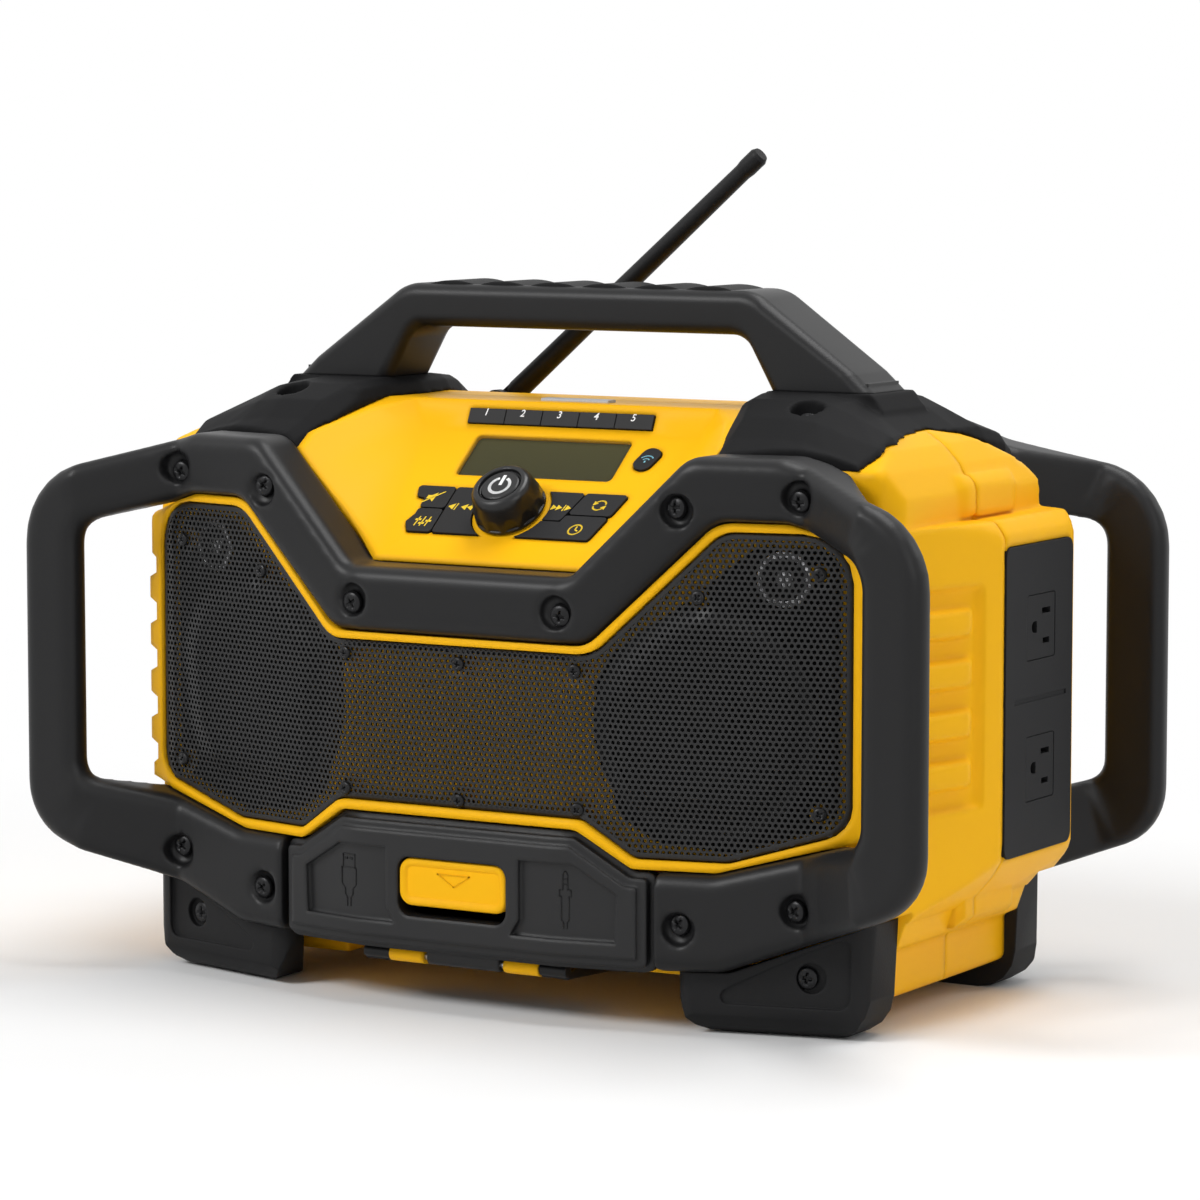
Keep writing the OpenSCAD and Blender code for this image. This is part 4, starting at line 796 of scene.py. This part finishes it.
def perforation_tree():
    """Staggered holes over an outline, dropped onto a form."""
    n = Nodes("perforation", {"Form": "Object", "Cell": "Object", "Pitch": "Float", "Border": "Float",
                              "Width": "Float", "Height": "Float", "Middle": "Vector"})
    # two lattices, the second in the gaps of the first
    pitch = n.given["Pitch"]
    row = n.math("MULTIPLY", pitch, math.sqrt(3))
    across = n.math("FLOOR", n.math("DIVIDE", n.given["Width"], pitch))
    down = n.math("FLOOR", n.math("DIVIDE", n.given["Height"], row))
    lattices = []
    for shift in (0, 0.5):
        grid = n.add("GeometryNodeMeshGrid", {}, {
            "Size X": n.math("MULTIPLY", across, pitch), "Size Y": n.math("MULTIPLY", down, row),
            "Vertices X": n.math("ADD", across, 1), "Vertices Y": n.math("ADD", down, 1)})
        aside = n.vector(n.math("MULTIPLY", pitch, shift), n.math("MULTIPLY", row, shift), 0.0)
        lattices.append(n.add("GeometryNodeTransform", {}, {"Geometry": grid, "Translation": aside}))
    lattice = n.add("GeometryNodeJoinGeometry", {}, {"Geometry": lattices})
    upright = n.add("GeometryNodeTransform", {}, {
        "Geometry": lattice, "Rotation": (math.radians(90), 0, 0), "Translation": n.given["Middle"]})
    # keep the cells inside the outline, looking back from half a metre ahead
    place = n.add("GeometryNodeInputPosition")
    ahead = n.add("ShaderNodeVectorMath", {"operation": "ADD"}, {0: place, 1: (0, -0.5, 0)})
    look = {"Source Position": ahead, "Ray Direction": (0, 1, 0), "Ray Length": 1.0}
    outline = n.given["Geometry"]
    inside = n.add("GeometryNodeRaycast", {}, {"Target Geometry": outline, **look}, "Is Hit")
    edge = n.add("GeometryNodeProximity", {"target_element": "EDGES"},
                 {"Geometry": outline, "Sample Position": place}, "Distance")
    clear = n.add("FunctionNodeCompare", {"data_type": "FLOAT", "operation": "GREATER_THAN"},
                  {0: edge, 1: n.given["Border"]})
    keep = n.add("FunctionNodeBooleanMath", {"operation": "AND"}, {0: inside, 1: clear})
    drop = n.add("FunctionNodeBooleanMath", {"operation": "NOT"}, {0: keep})
    spots = n.add("GeometryNodeDeleteGeometry", {"domain": "POINT"}, {"Geometry": upright, "Selection": drop})
    cells = n.add("GeometryNodeInstanceOnPoints", {}, {"Points": spots, "Instance": n.shape_of("Cell")})
    flat = n.add("GeometryNodeRealizeInstances", {}, {"Geometry": cells})
    whole = n.add("GeometryNodeMergeByDistance", {}, {"Geometry": flat, "Distance": 0.00005})
    # drop each corner onto the form, keeping the depth of the hole's wall
    hit = n.add("GeometryNodeRaycast", {}, {"Target Geometry": n.shape_of("Form"), **look}, "Hit Position")
    x, y, z = n.add("ShaderNodeSeparateXYZ", {}, {0: place}, slice(3))
    form_y = n.add("ShaderNodeSeparateXYZ", {}, {0: hit}, 1)
    landed = n.vector(x, n.math("ADD", y, form_y), z)
    n.finish(n.add("GeometryNodeSetPosition", {}, {"Geometry": whole, "Position": landed}))
    return n


def grille_sheet(sizes):
    """The punched sheet inside the outline."""
    form = link("grille_form", form_mesh(sizes))
    cell = link("grille_cell", tile_mesh(sizes.hole_pitch, sizes.hole_radius))
    host = link("grille_host", outline_mesh(GRILLE_OUTLINE))
    punched = perforation_tree().run(host, {
        "Form": form, "Cell": cell, "Pitch": sizes.hole_pitch * MM, "Border": HOLE_BORDER * MM,
        "Width": GRILLE_SPAN[0] * MM, "Height": GRILLE_SPAN[1] * MM, "Middle": (0, 0, GRILLE_MIDDLE * MM),
        "Material": finish_of("grille_paint")})
    discard(form, cell, host)
    bm = bmesh.new()
    bm.from_mesh(punched)
    return mesh_from("speaker_grille_sheet", bm, 60)


def grille_rim(sizes):
    """Rolled border of the sheet, from its turned-back edge to a flat flange over the outermost holes."""
    bm = bmesh.new()
    rings = []
    for inset, behind in RIM_PROFILE:
        ring = []
        for p in grown(GRILLE_OUTLINE, -inset):
            face = lookup(LIP_BOW, abs(p.x)) - GRILLE_DEPTH if inset < 0.5 else grille_form(p.x, p.y, sizes)
            ring.append(bm.verts.new((p.x * MM, (-face + behind) * MM, p.y * MM)))
        rings.append(ring)
    bridge(bm, *rings)
    face_front(bm, len(rings[0]) * 4)
    return mesh_from("speaker_grille_rim", bm, 50)


def baffle_shade_felt(side):
    """Dark felt on the baffle round the rims of a woofer and a tweeter, as painted shade for the shadow
    behind the grille.
    """
    woofer = Vector(WOOFER)
    outer = [p if (p - woofer).length > SHADE_FELT_REACH else woofer + (p - woofer).normalized() * SHADE_FELT_REACH
             for p in rounded(SHADE_FELT_HALF)]
    rims = [[Vector(spot) + Vector(way) * radius for way in compass(64)]
            for spot, radius in ((WOOFER, WOOFER_RIM), (TWEETER, TWEETER_RIM))]
    bm = bmesh.new()
    edges = []
    for loop in [outer] + rims:
        verts = []
        for p in loop:
            behind = BAFFLE_DEPTH - SHADE_FELT_PROUD - lookup(LIP_BOW, p.x)
            verts.append(bm.verts.new((side * p.x * MM, behind * MM, p.y * MM)))
        edges += [bm.edges.new((a, b)) for a, b in zip(verts, verts[1:] + verts[:1])]
    bmesh.ops.triangle_fill(bm, edges=edges, use_beauty=True, use_dissolve=False)
    for face in bm.faces:
        if face.normal.y > 0:
            face.normal_flip()
    base = bmesh.ops.extrude_face_region(bm, geom=bm.faces[:], use_keep_orig=True)["geom"]
    bmesh.ops.translate(bm, verts=[item for item in base if isinstance(item, bmesh.types.BMVert)],
                        vec=(0, (SHADE_FELT_PROUD - 0.05) * MM, 0))
    bmesh.ops.recalc_face_normals(bm, faces=bm.faces)
    # the dark felt is painted shade behind the grille
    name = "baffle_felt_" + ("left" if side < 0 else "right")
    add_piece(name, mesh_from(name, bm), "speaker_grille", "felt", "foot_rubber")


# ---- screws --------------------------------------------------------------------------------------

# head radius, head height, seed of the turns
SCREWS = {"cage_screws": (4.8, 2.4, 3), "foot_screws": (4.8, 2.4, 8), "shoulder_screws": (4.8, 2.4, 5),
          "grille_screws": (3.0, 1.6, 11)}
# share of the head's radius, share of its height
HEAD_PROFILE = [(0.45, 0.99), (0.72, 0.9), (0.9, 0.68), (0.985, 0.34)]
SHANK_END = 3.5             # corners within this of the tip are the shank's end
HEAD_CORNERS = 24           # corners furthest from the tip that are the head's top


def islands(bm):
    """The corners of each separate solid of a mesh."""
    seen = set()
    for start in bm.verts:
        if start in seen:
            continue
        island, stack = [], [start]
        seen.add(start)
        while stack:
            vert = stack.pop()
            island.append(vert.co.copy())
            for edge in vert.link_edges:
                other = edge.other_vert(vert)
                if other not in seen:
                    seen.add(other)
                    stack.append(other)
        yield island


def mean(places):
    return sum(places, Vector()) / len(places)


def screw_spots(node):
    """Top of each screw's head and the way it points, found from the node's separate solids."""
    bm = bmesh.new()
    bm.from_mesh(frame["nodes"][node].data)
    bmesh.ops.remove_doubles(bm, verts=bm.verts, dist=WELD)
    spots = []
    for island in islands(bm):
        # most corners are on the head, so the one furthest from their middle is on the shank's end
        middle = mean(island)
        tip = max(island, key=lambda co: (co - middle).length)
        tail = mean([co for co in island if (co - tip).length < SHANK_END * MM])
        top = mean(sorted(island, key=lambda co: -(co - tail).length)[:HEAD_CORNERS])
        axis = (top - tail).normalized()
        reach = max((co - tail).dot(axis) for co in island)
        spots.append((tail + axis * reach, axis))
    bm.free()
    return spots


def screw_head(radius, height, steps=36):
    """Pan head with a tapering cross recess."""
    profile = [(r, height * share) for r, share in HEAD_PROFILE] + [(1, 0.1), (0.97, 0)]
    bm = bmesh.new()
    rings = [[bm.verts.new((0, 0, height))]]
    for r, z in profile:
        rings.append([bm.verts.new((r * radius * c, r * radius * s, z)) for c, s in compass(steps)])
    rings.append([bm.verts.new((0, 0, 0))])
    for a, b in zip(rings, rings[1:]):
        for k in range(steps):
            j = (k + 1) % steps
            corners = [a[k % len(a)], b[k % len(b)], b[j % len(b)], a[j % len(a)]]
            bm.faces.new(list(dict.fromkeys(corners)))
    bmesh.ops.recalc_face_normals(bm, faces=bm.faces)
    head = link("screw_head", mesh_from("screw_head", bm, 30))
    wing, slot = radius * 0.62, radius * 0.15
    low, high = height - height * 0.9, height + 0.5
    cutter = bmesh.new()
    for turn in (0, 90):
        bar = bmesh.ops.create_cube(cutter, size=2)["verts"]
        for vert in bar:
            x, y, z = vert.co
            vert.co = (x * wing, y * slot * 1.15, high) if z > 0 else (x * wing * 0.5, y * slot * 0.7, low)
        bmesh.ops.rotate(cutter, matrix=Matrix.Rotation(math.radians(turn), 3, "Z"), verts=bar)
    cross = link("screw_cross", mesh_from("screw_cross", cutter, 30))
    cut = head.modifiers.new("Recess", "BOOLEAN")
    cut.operation, cut.solver, cut.use_self, cut.object = "DIFFERENCE", "EXACT", True, cross
    settle(head)
    discard(cross)
    head.data.transform(Matrix.Scale(MM, 4))
    return head


def screw_tree():
    """Screws on points, each stood along its own axis and turned at random about it."""
    n = Nodes("screws", {"Screw": "Object", "Seed": "Int"})
    axis = n.add("GeometryNodeInputNamedAttribute", {"data_type": "FLOAT_VECTOR"}, {"Name": "axis"})
    upright = n.add("FunctionNodeAlignRotationToVector", {"axis": "Z"}, {"Vector": axis})
    spin = n.add("FunctionNodeRandomValue", {"data_type": "FLOAT"},
                 {"Min": 0.0, "Max": math.tau, "Seed": n.given["Seed"]}, 1)
    twist = n.add("FunctionNodeAxisAngleToRotation", {}, {"Axis": (0, 0, 1), "Angle": spin})
    turned = n.add("FunctionNodeRotateRotation", {"rotation_space": "LOCAL"},
                   {"Rotation": upright, "Rotate By": twist})
    n.finish(n.add("GeometryNodeInstanceOnPoints", {}, {
        "Points": n.given["Geometry"], "Instance": n.shape_of("Screw"), "Rotation": turned}))
    return n


def place_screws(node, radius, height, seed):
    """Replaces a node's screws with detailed ones on the same seats."""
    spots = screw_spots(node)
    points = bpy.data.meshes.new(node + "_points")
    points.from_pydata([tuple(top - axis * height * MM) for top, axis in spots], [], [])
    stored = points.attributes.new("axis", "FLOAT_VECTOR", "POINT")
    for item, (_, axis) in zip(stored.data, spots):
        item.vector = axis
    head = screw_head(radius, height)
    host = link(node + "_host", points)
    mesh = screw_tree().run(host, {"Screw": head, "Seed": seed, "Material": finish_of("black_screw")})
    discard(host, head)
    piece = add_piece(node + "_heads", mesh, node)
    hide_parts(node)


# ---- signs on the keys ---------------------------------------------------------------------------

SIGN_THICKNESS = 0.04
SIGN_SLANT = 0.15
DIGIT_HEIGHT = 4.6


def stroke(points, width):
    """Outlines of a line of even width through 2-D points, one four-cornered piece per stretch."""
    pieces = []
    for a, b in zip(points, points[1:]):
        a, b = Vector(a), Vector(b)
        side = Vector((-(b - a).y, (b - a).x)).normalized() * width / 2
        along = (b - a).normalized() * width * 0.3
        pieces.append([a - side - along, b - side + along, b + side + along, a + side - along])
    return pieces


def strokes(*lines):
    """Outlines of several lines, each given as its width and its points."""
    return [piece for width, *points in lines for piece in stroke(points, width)]


def arc(middle, radius, start, end, steps):
    return [(middle[0] + radius * math.cos(math.radians(start + (end - start) * k / steps)),
             middle[1] + radius * math.sin(math.radians(start + (end - start) * k / steps)))
            for k in range(steps + 1)]


def arrow(x, half, way):
    """Solid triangle pointing left (-1) or right (1)."""
    return [(x - way * half * 0.8, -half), (x + way * half * 0.8, 0), (x - way * half * 0.8, half)]


def slanted(outlines, by, size):
    return [[(size * (x + by * y), size * y) for x, y in outline] for outline in outlines]


def flat_mark(name, outlines, where, thickness, node, finish):
    """Thin raised mark from closed 2-D outlines in a local frame given in millimetres."""
    bm = bmesh.new()
    for outline in outlines:
        low = [bm.verts.new((p[0], p[1], -thickness)) for p in outline]
        high = [bm.verts.new((p[0], p[1], thickness)) for p in outline]
        bm.faces.new(list(reversed(low)))
        bm.faces.new(high)
        bridge(bm, low, high)
    bmesh.ops.recalc_face_normals(bm, faces=bm.faces)
    bmesh.ops.transform(bm, matrix=Matrix.Scale(MM, 4) @ where, verts=bm.verts)
    add_piece(name, mesh_from(name, bm, 30), node, finish)


def digit_mark(name, text, where, node, finish):
    """A plain slanted digit as a thin raised mark."""
    curve = bpy.data.curves.new(name, "FONT")
    curve.body, curve.size, curve.shear, curve.extrude = text, DIGIT_HEIGHT, 0.2, SIGN_THICKNESS
    curve.align_x, curve.align_y, curve.offset = "CENTER", "CENTER", 0.05
    letter = link(name + "_text", curve)
    mesh = plain_mesh(letter)
    discard(letter)
    mesh.transform(Matrix.Scale(MM, 4) @ where)
    add_piece(name, mesh, node, finish)


def speaker_sign():
    """Small loudspeaker with a bar through it."""
    body = [(-2.6, -0.8), (-1.2, -0.8), (0.4, -2.1), (0.4, 2.1), (-1.2, 0.8), (-2.6, 0.8)]
    return [body] + strokes((0.5, (-3.0, -2.4), (2.6, 2.6)))


def slider_sign():
    """Three tone sliders at different heights."""
    marks = []
    for x, level in ((-2, 0.7), (0, -0.9), (2, 0.2)):
        marks += strokes((0.45, (x, -2), (x, 2)), (0.8, (x - 0.8, level), (x + 0.8, level)))
    return marks


def back_sign():
    """Bar and three arrows to the left."""
    return [arrow(x, 1.7, -1) for x in (-6.2, -0.4, 2.4)] + strokes((0.5, (-3.9, -1.7), (-3.9, 1.7)))


def ahead_sign():
    """Three arrows to the right, with a bar before the last."""
    return [arrow(x, 1.6, 1) for x in (-3.7, -1.2, 3.0)] + strokes((0.5, (0.9, -1.6), (0.9, 1.6)))


def cycle_sign():
    """Two bent arrows going round."""
    marks = []
    for start in (20, 200):
        end = start + 130
        marks += stroke(arc((0, 0), 2.0, start, end, 8), 0.55)
        tip = arc((0, 0), 2.0, end, end + 1, 1)[0]
        way = math.radians(end + 90)
        marks.append([(tip[0] + reach * math.cos(way + turn), tip[1] + reach * math.sin(way + turn))
                      for reach, turn in ((1.3, 0), (1.0, 1.9), (1.0, -1.9))])
    return marks


def clock_sign():
    """Dial with two hands."""
    return stroke(arc((0, 0), 2.1, 0, 360, 18), 0.5) + strokes((0.45, (0, 1.3), (0, 0), (1.0, -0.5)))


def wave_sign():
    """Dot with two arcs spreading from it."""
    return strokes((0.9, (-0.01, -1.6), (0.01, -1.6)),
                   *((0.42, *arc((0, -1.6), radius, 40, 140, 8)) for radius in (1.5, 2.9)))


def power_sign():
    """Open ring with a bar through its gap."""
    return stroke(arc((0, 0), 4.1, 118, 422, 26), 1.25) + strokes((1.35, (0, 0.6), (0, 5.2)))


# sign, place on the panel, size, ink
KEY_SIGNS = {
    "mute": (speaker_sign, (-41.5, 24.6), 1.35, "legend_yellow"),
    "tone": (slider_sign, (-40, 9.6), 1.35, "legend_yellow"),
    "previous": (back_sign, (-23.4, 19.5), 1.1, "legend_yellow"),
    "next": (ahead_sign, (24.2, 22.0), 1.05, "legend_yellow"),
    "mode": (cycle_sign, (41.5, 24.6), 1.4, "legend_yellow"),
    "clock": (clock_sign, (36.5, 9.4), 1.4, "legend_yellow"),
    "pairing": (wave_sign, (51.2, 54.4), 1.25, "legend_blue"),
}


def key_signs():
    for name, (sign, (x, up), size, ink_name) in KEY_SIGNS.items():
        flat_mark(name + "_sign", slanted(sign(), SIGN_SLANT, size), panel_matrix(x, up, PAD_TOP),
                  SIGN_THICKNESS, name + "_button", ink_name)
    for i in range(PRESET_COUNT):
        node = f"preset_button_{i + 1}"
        across = PRESET_PITCH * (i - PRESET_COUNT // 2) - 0.8
        digit_mark(node + "_digit", str(i + 1), preset_matrix(across, PRESET_MIDDLE + 1.6, PAD_TOP), node,
                   "legend_white")
    flat_mark("power_sign", slanted(power_sign(), 0, 1.12), panel_matrix(0, KNOB_SPOT - 0.3, KNOB_TOP), 0.05,
              "power_button", "legend_white")


def status_cap():
    """Clear bar of the status lamp, a little proud of the top edge."""
    bm = bmesh.new()
    left, right = ([bm.verts.new((x * MM, y * MM, z * MM)) for y, z in LENS_CAP]
                   for x in (-LENS_CAP_HALF, LENS_CAP_HALF))
    bridge(bm, right, left)
    bm.faces.new(left)
    bm.faces.new(right)
    bmesh.ops.recalc_face_normals(bm, faces=bm.faces)
    add_piece("status_lens_cap", mesh_from("status_lens_cap", bm), "status_lens")


# ---- marks on the door ---------------------------------------------------------------------------

def both_sides(right):
    """A line that goes up its right side and down the same on its left."""
    return right + [(-x, y) for x, y in reversed(right)]


def plug_outline():
    """Flat plug seen from the side, standing on its lead."""
    side = [(1.0, -12), (1.0, -8.5), (2.2, -7), (2.2, -4.5), (4.2, -2.6), (4.2, 4.6), (3.4, 4.6), (3.4, 10.4)]
    return strokes((0.5, *both_sides(side)), (1.0, (-2, 8.6), (-1, 8.6)), (1.0, (1, 8.6), (2, 8.6)),
                   (0.5, (-4.2, 4.6), (4.2, 4.6)))


def jack_outline():
    """Round three-ring plug standing on its lead."""
    side = [(0.8, -12), (0.8, -9.5), (1.7, -8.6), (1.7, 1.4), (2.6, 1.4), (2.6, 4.2), (1.1, 4.2), (1.1, 10.6),
            (0.3, 12)]
    return strokes((0.5, *both_sides(side)), (0.45, (-1.1, 6.6), (1.1, 6.6)), (0.45, (-1.1, 8.8), (1.1, 8.8)))


def door_marks():
    _, (x0, y0), (x1, y1) = DOOR_BOW
    sweep = math.atan((y0 - y1) / (x1 - x0))
    across, up = DOOR_MARKS
    for name, side, outlines in (("flat_plug_mark", -1, plug_outline()),
                                 ("round_plug_mark", 1, jack_outline())):
        where = (front_matrix(side * across, -lookup(DOOR_BOW, across) + DOOR_FIELD, up)
                 @ Matrix.Rotation(side * sweep, 4, "Y"))
        flat_mark(name, outlines, where, 0.32, "storage_door", "door_plastic")


def latch_rim():
    """Rounded rim that stands out of the latch's plate."""
    x, z = LATCH_HALF
    width, proud = LATCH_RIM
    plate = rounded([(a, b, LATCH_CORNER) for a, b in ((x, -z), (x, z), (-x, z), (-x, -z))], 8)
    profile = [(0, 1.0), (0.1, -proud * 0.3), (0.5, -proud * 0.75), (1.1, -proud), (width * 0.5, -proud),
               (width * 0.75, -proud * 0.75), (width, -proud * 0.2), (width + 0.5, 0.2)]
    bm = bmesh.new()
    rings = [[bm.verts.new((p.x * MM, (LATCH_FACE + out) * MM, (LATCH_MIDDLE + p.y) * MM))
              for p in grown(plate, -inset)] for inset, out in profile]
    bridge(bm, *rings)
    face_front(bm, len(rings[0]) * 3)
    add_piece("latch_rim", mesh_from("latch_rim", bm, 60), "door_latch")


# ---- stage ---------------------------------------------------------------------------------------

CAMERA_PLACE = (1.0509, -1.7537, 0.3847)    # metres
CAMERA_TURN = 30.87         # degrees to the right of the front
CAMERA_DIP = 6.11
CAMERA_LENS = 140.3         # on a sensor 36 wide
WORLD_LEVEL = 0.26

# place and target in metres, size in metres, watts
LAMPS = {
    "key": ((-1.3, -2.2, 2.1), (0, 0, 0.15), (1.3, 1.0), 54),
    "fill": ((2.4, -1.6, 1.3), (0, 0, 0.15), (1.2, 1.2), 9),
    "top": ((0.5, 0.3, 2.4), (0, 0, 0.2), (1.8, 1.0), 36),
    "rim": ((1.8, 1.6, 1.6), (0, 0, 0.2), (0.8, 1.0), 8),
}


def stage_mesh(near=-6.0, far=3.0, top=4.0, bend=1.2, half=7.0):
    """Floor that sweeps up into a backdrop. Sizes are in metres."""
    profile = [(near, 0.0)] + [(far - bend + bend * math.sin(a), bend - bend * math.cos(a))
                               for a in (math.radians(6 * k) for k in range(16))] + [(far, top)]
    bm = bmesh.new()
    left, right = ([bm.verts.new((x, y, z)) for y, z in profile] for x in (-half, half))
    for i in range(len(profile) - 1):
        bm.faces.new((left[i], right[i], right[i + 1], left[i + 1]))
    return mesh_from("floor", bm, 60)


def add_lamp(name, place, target, size, power):
    light = bpy.data.lights.new(name, "AREA")
    light.shape, light.size, light.size_y, light.energy = "RECTANGLE", *size, power
    lamp = link(name, light)
    lamp.location = place
    lamp.rotation_euler = (Vector(target) - Vector(place)).to_track_quat("-Z", "Y").to_euler()


def light_world():
    """Even grey light, with a white surround for the camera and for mirror-like surfaces."""
    world = bpy.data.worlds.new("studio")
    bpy.context.scene.world = world
    world.use_nodes = True
    graph = Graph(world.node_tree)
    lit, white = (graph.node("ShaderNodeBackground", {}, {"Color": WHITE, "Strength": strength})
                  for strength in (WORLD_LEVEL, 1.0))
    either = graph.node("ShaderNodeMixShader", {}, {0: graph.seen_plainly(), 1: lit, 2: white})
    graph.feed(graph.tree.nodes.new("ShaderNodeOutputWorld"), {"Surface": either})


# ---- properties ----------------------------------------------------------------------------------

class RadioSizes(bpy.types.PropertyGroup):
    """Sizes of the details, in millimetres."""
    hole_pitch: bpy.props.FloatProperty(
        name="Hole pitch", description="Distance between neighbouring holes of the grille, mm",
        default=2.6, min=2.2, max=4)
    hole_radius: bpy.props.FloatProperty(
        name="Hole radius", description="Radius of each grille hole, mm", default=0.92, min=0.5, max=1.4)
    base_rise: bpy.props.FloatProperty(
        name="Sheet rise", description="How far the sheet stands ahead of its screws, mm",
        default=0.9, min=0, max=2)
    field_rise: bpy.props.FloatProperty(
        name="Field rise", description="How far the fields in front of the woofers stand out, mm",
        default=2.4, min=0, max=4)


class RadioColours(bpy.types.PropertyGroup):
    """Colours of the mouldings and inks."""
    yellow: bpy.props.FloatVectorProperty(
        name="Yellow", description="Housing plastic", subtype="COLOR", default=(0.98, 0.50, 0.006))
    black: bpy.props.FloatVectorProperty(
        name="Black", description="Cage and trim plastic", subtype="COLOR", default=(0.0085, 0.0085, 0.009))
    grille: bpy.props.FloatVectorProperty(
        name="Grille", description="Paint of the speaker front", subtype="COLOR",
        default=(0.019, 0.019, 0.0195))
    display: bpy.props.FloatVectorProperty(
        name="Display", description="Display while it is off", subtype="COLOR", default=(0.080, 0.075, 0.028))
    legend_yellow: bpy.props.FloatVectorProperty(
        name="Yellow ink", description="Signs on the pads", subtype="COLOR", default=(0.9, 0.62, 0.03))
    legend_white: bpy.props.FloatVectorProperty(
        name="White ink", description="Digits and power sign", subtype="COLOR", default=(0.93, 0.93, 0.93))
    legend_blue: bpy.props.FloatVectorProperty(
        name="Blue ink", description="Sign on the pairing key", subtype="COLOR", default=(0.22, 0.55, 0.68))
    floor: bpy.props.FloatVectorProperty(
        name="Floor", description="Pale stage", subtype="COLOR", default=(0.88, 0.88, 0.88))


# ---- operators -----------------------------------------------------------------------------------

class RADIO_OT_stage(bpy.types.Operator):
    """Pale stage, soft lamps and the camera"""
    bl_idname = "radio.stage"
    bl_label = "Stage"

    def execute(self, context):
        scene = context.scene
        camera = link("camera", bpy.data.cameras.new("camera"))
        camera.location = CAMERA_PLACE
        camera.rotation_euler = (math.radians(90 - CAMERA_DIP), 0, math.radians(CAMERA_TURN))
        camera.data.lens = CAMERA_LENS
        camera.data.sensor_width = 36
        camera.data.clip_end = 50
        scene.camera = camera
        floor = link("floor", stage_mesh())
        floor.data.materials.append(finish_of("stage_paper"))
        for name, facts in LAMPS.items():
            add_lamp(name, *facts)
        light_world()
        scene.view_settings.view_transform = "Standard"
        return {"FINISHED"}


class RADIO_OT_mouldings(bpy.types.Operator):
    """Smooth copies of the housings, cages, handle and all other plain pieces"""
    bl_idname = "radio.mouldings"
    bl_label = "Mouldings"

    def execute(self, context):
        made = {node: smooth_copy(node) for node in frame["nodes"]
                if node != "speaker_grille" and node not in SCREWS}
        repaint(made["door_sill"], "yellow_housing", on_knuckle)
        # the band of each tweeter between its tip and its ring is painted shade
        for node in ("tweeter_left", "tweeter_right"):
            repaint(made[node], "speaker_basket", on_tweeter_painted_shade)
        for node, numbers in SOFTENED.items():
            soften(made[node], *numbers)
        return {"FINISHED"}


class RADIO_OT_grille(bpy.types.Operator):
    """Perforated speaker front with its rolled rim"""
    bl_idname = "radio.grille"
    bl_label = "Speaker grille"

    def execute(self, context):
        sizes = context.scene.radio_sizes
        sheet = add_piece("speaker_grille_sheet", grille_sheet(sizes), "speaker_grille")
        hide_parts("speaker_grille")
        add_piece("speaker_grille_rim", grille_rim(sizes), "speaker_grille")
        # dark felt on both sides, as painted shade behind the grille
        for side in (-1, 1):
            baffle_shade_felt(side)
        return {"FINISHED"}


class RADIO_OT_screws(bpy.types.Operator):
    """Cross-head screws on the seats of the frame's screws"""
    bl_idname = "radio.screws"
    bl_label = "Screws"

    def execute(self, context):
        for node, numbers in SCREWS.items():
            place_screws(node, *numbers)
        return {"FINISHED"}


class RADIO_OT_legends(bpy.types.Operator):
    """Signs on the keys, digits on the presets, the power sign and the lamp's cap"""
    bl_idname = "radio.legends"
    bl_label = "Legends"

    def execute(self, context):
        key_signs()
        status_cap()
        return {"FINISHED"}


class RADIO_OT_door_marks(bpy.types.Operator):
    """Raised plug outlines on the storage door, and the arrow and the rim of its latch"""
    bl_idname = "radio.door_marks"
    bl_label = "Door marks"

    def execute(self, context):
        door_marks()
        flat_mark("latch_arrow", strokes((0.6, (-8, 2), (8, 2), (0, -3), (-8, 2))),
                  front_matrix(0, LATCH_FACE, LATCH_MIDDLE + 2.2), 0.3, "door_latch", "yellow_housing")
        latch_rim()
        return {"FINISHED"}


class RADIO_PT_panel(bpy.types.Panel):
    """Lists the steps that dress the radio"""
    bl_idname = "RADIO_PT_panel"
    bl_label = "Jobsite Radio"
    bl_space_type = "VIEW_3D"
    bl_region_type = "UI"
    bl_category = "Radio"

    def draw(self, context):
        for group in (context.scene.radio_sizes, context.scene.radio_colours):
            for name in group.__annotations__:
                self.layout.prop(group, name)
        for step in STEPS:
            self.layout.operator(step.bl_idname)


STEPS = (RADIO_OT_stage, RADIO_OT_mouldings, RADIO_OT_grille, RADIO_OT_screws, RADIO_OT_legends,
         RADIO_OT_door_marks)
CLASSES = (RadioSizes, RadioColours) + STEPS + (RADIO_PT_panel,)


def register():
    for item in CLASSES:
        bpy.utils.register_class(item)
    bpy.types.Scene.radio_sizes = bpy.props.PointerProperty(type=RadioSizes)
    bpy.types.Scene.radio_colours = bpy.props.PointerProperty(type=RadioColours)


def unregister():
    del bpy.types.Scene.radio_colours, bpy.types.Scene.radio_sizes
    for item in reversed(CLASSES):
        bpy.utils.unregister_class(item)


def main():
    register()
    bpy.ops.radio.stage()
    bpy.ops.radio.mouldings()
    bpy.ops.radio.grille()
    bpy.ops.radio.screws()
    bpy.ops.radio.legends()
    bpy.ops.radio.door_marks()


if __name__ == "__main__":
    main()
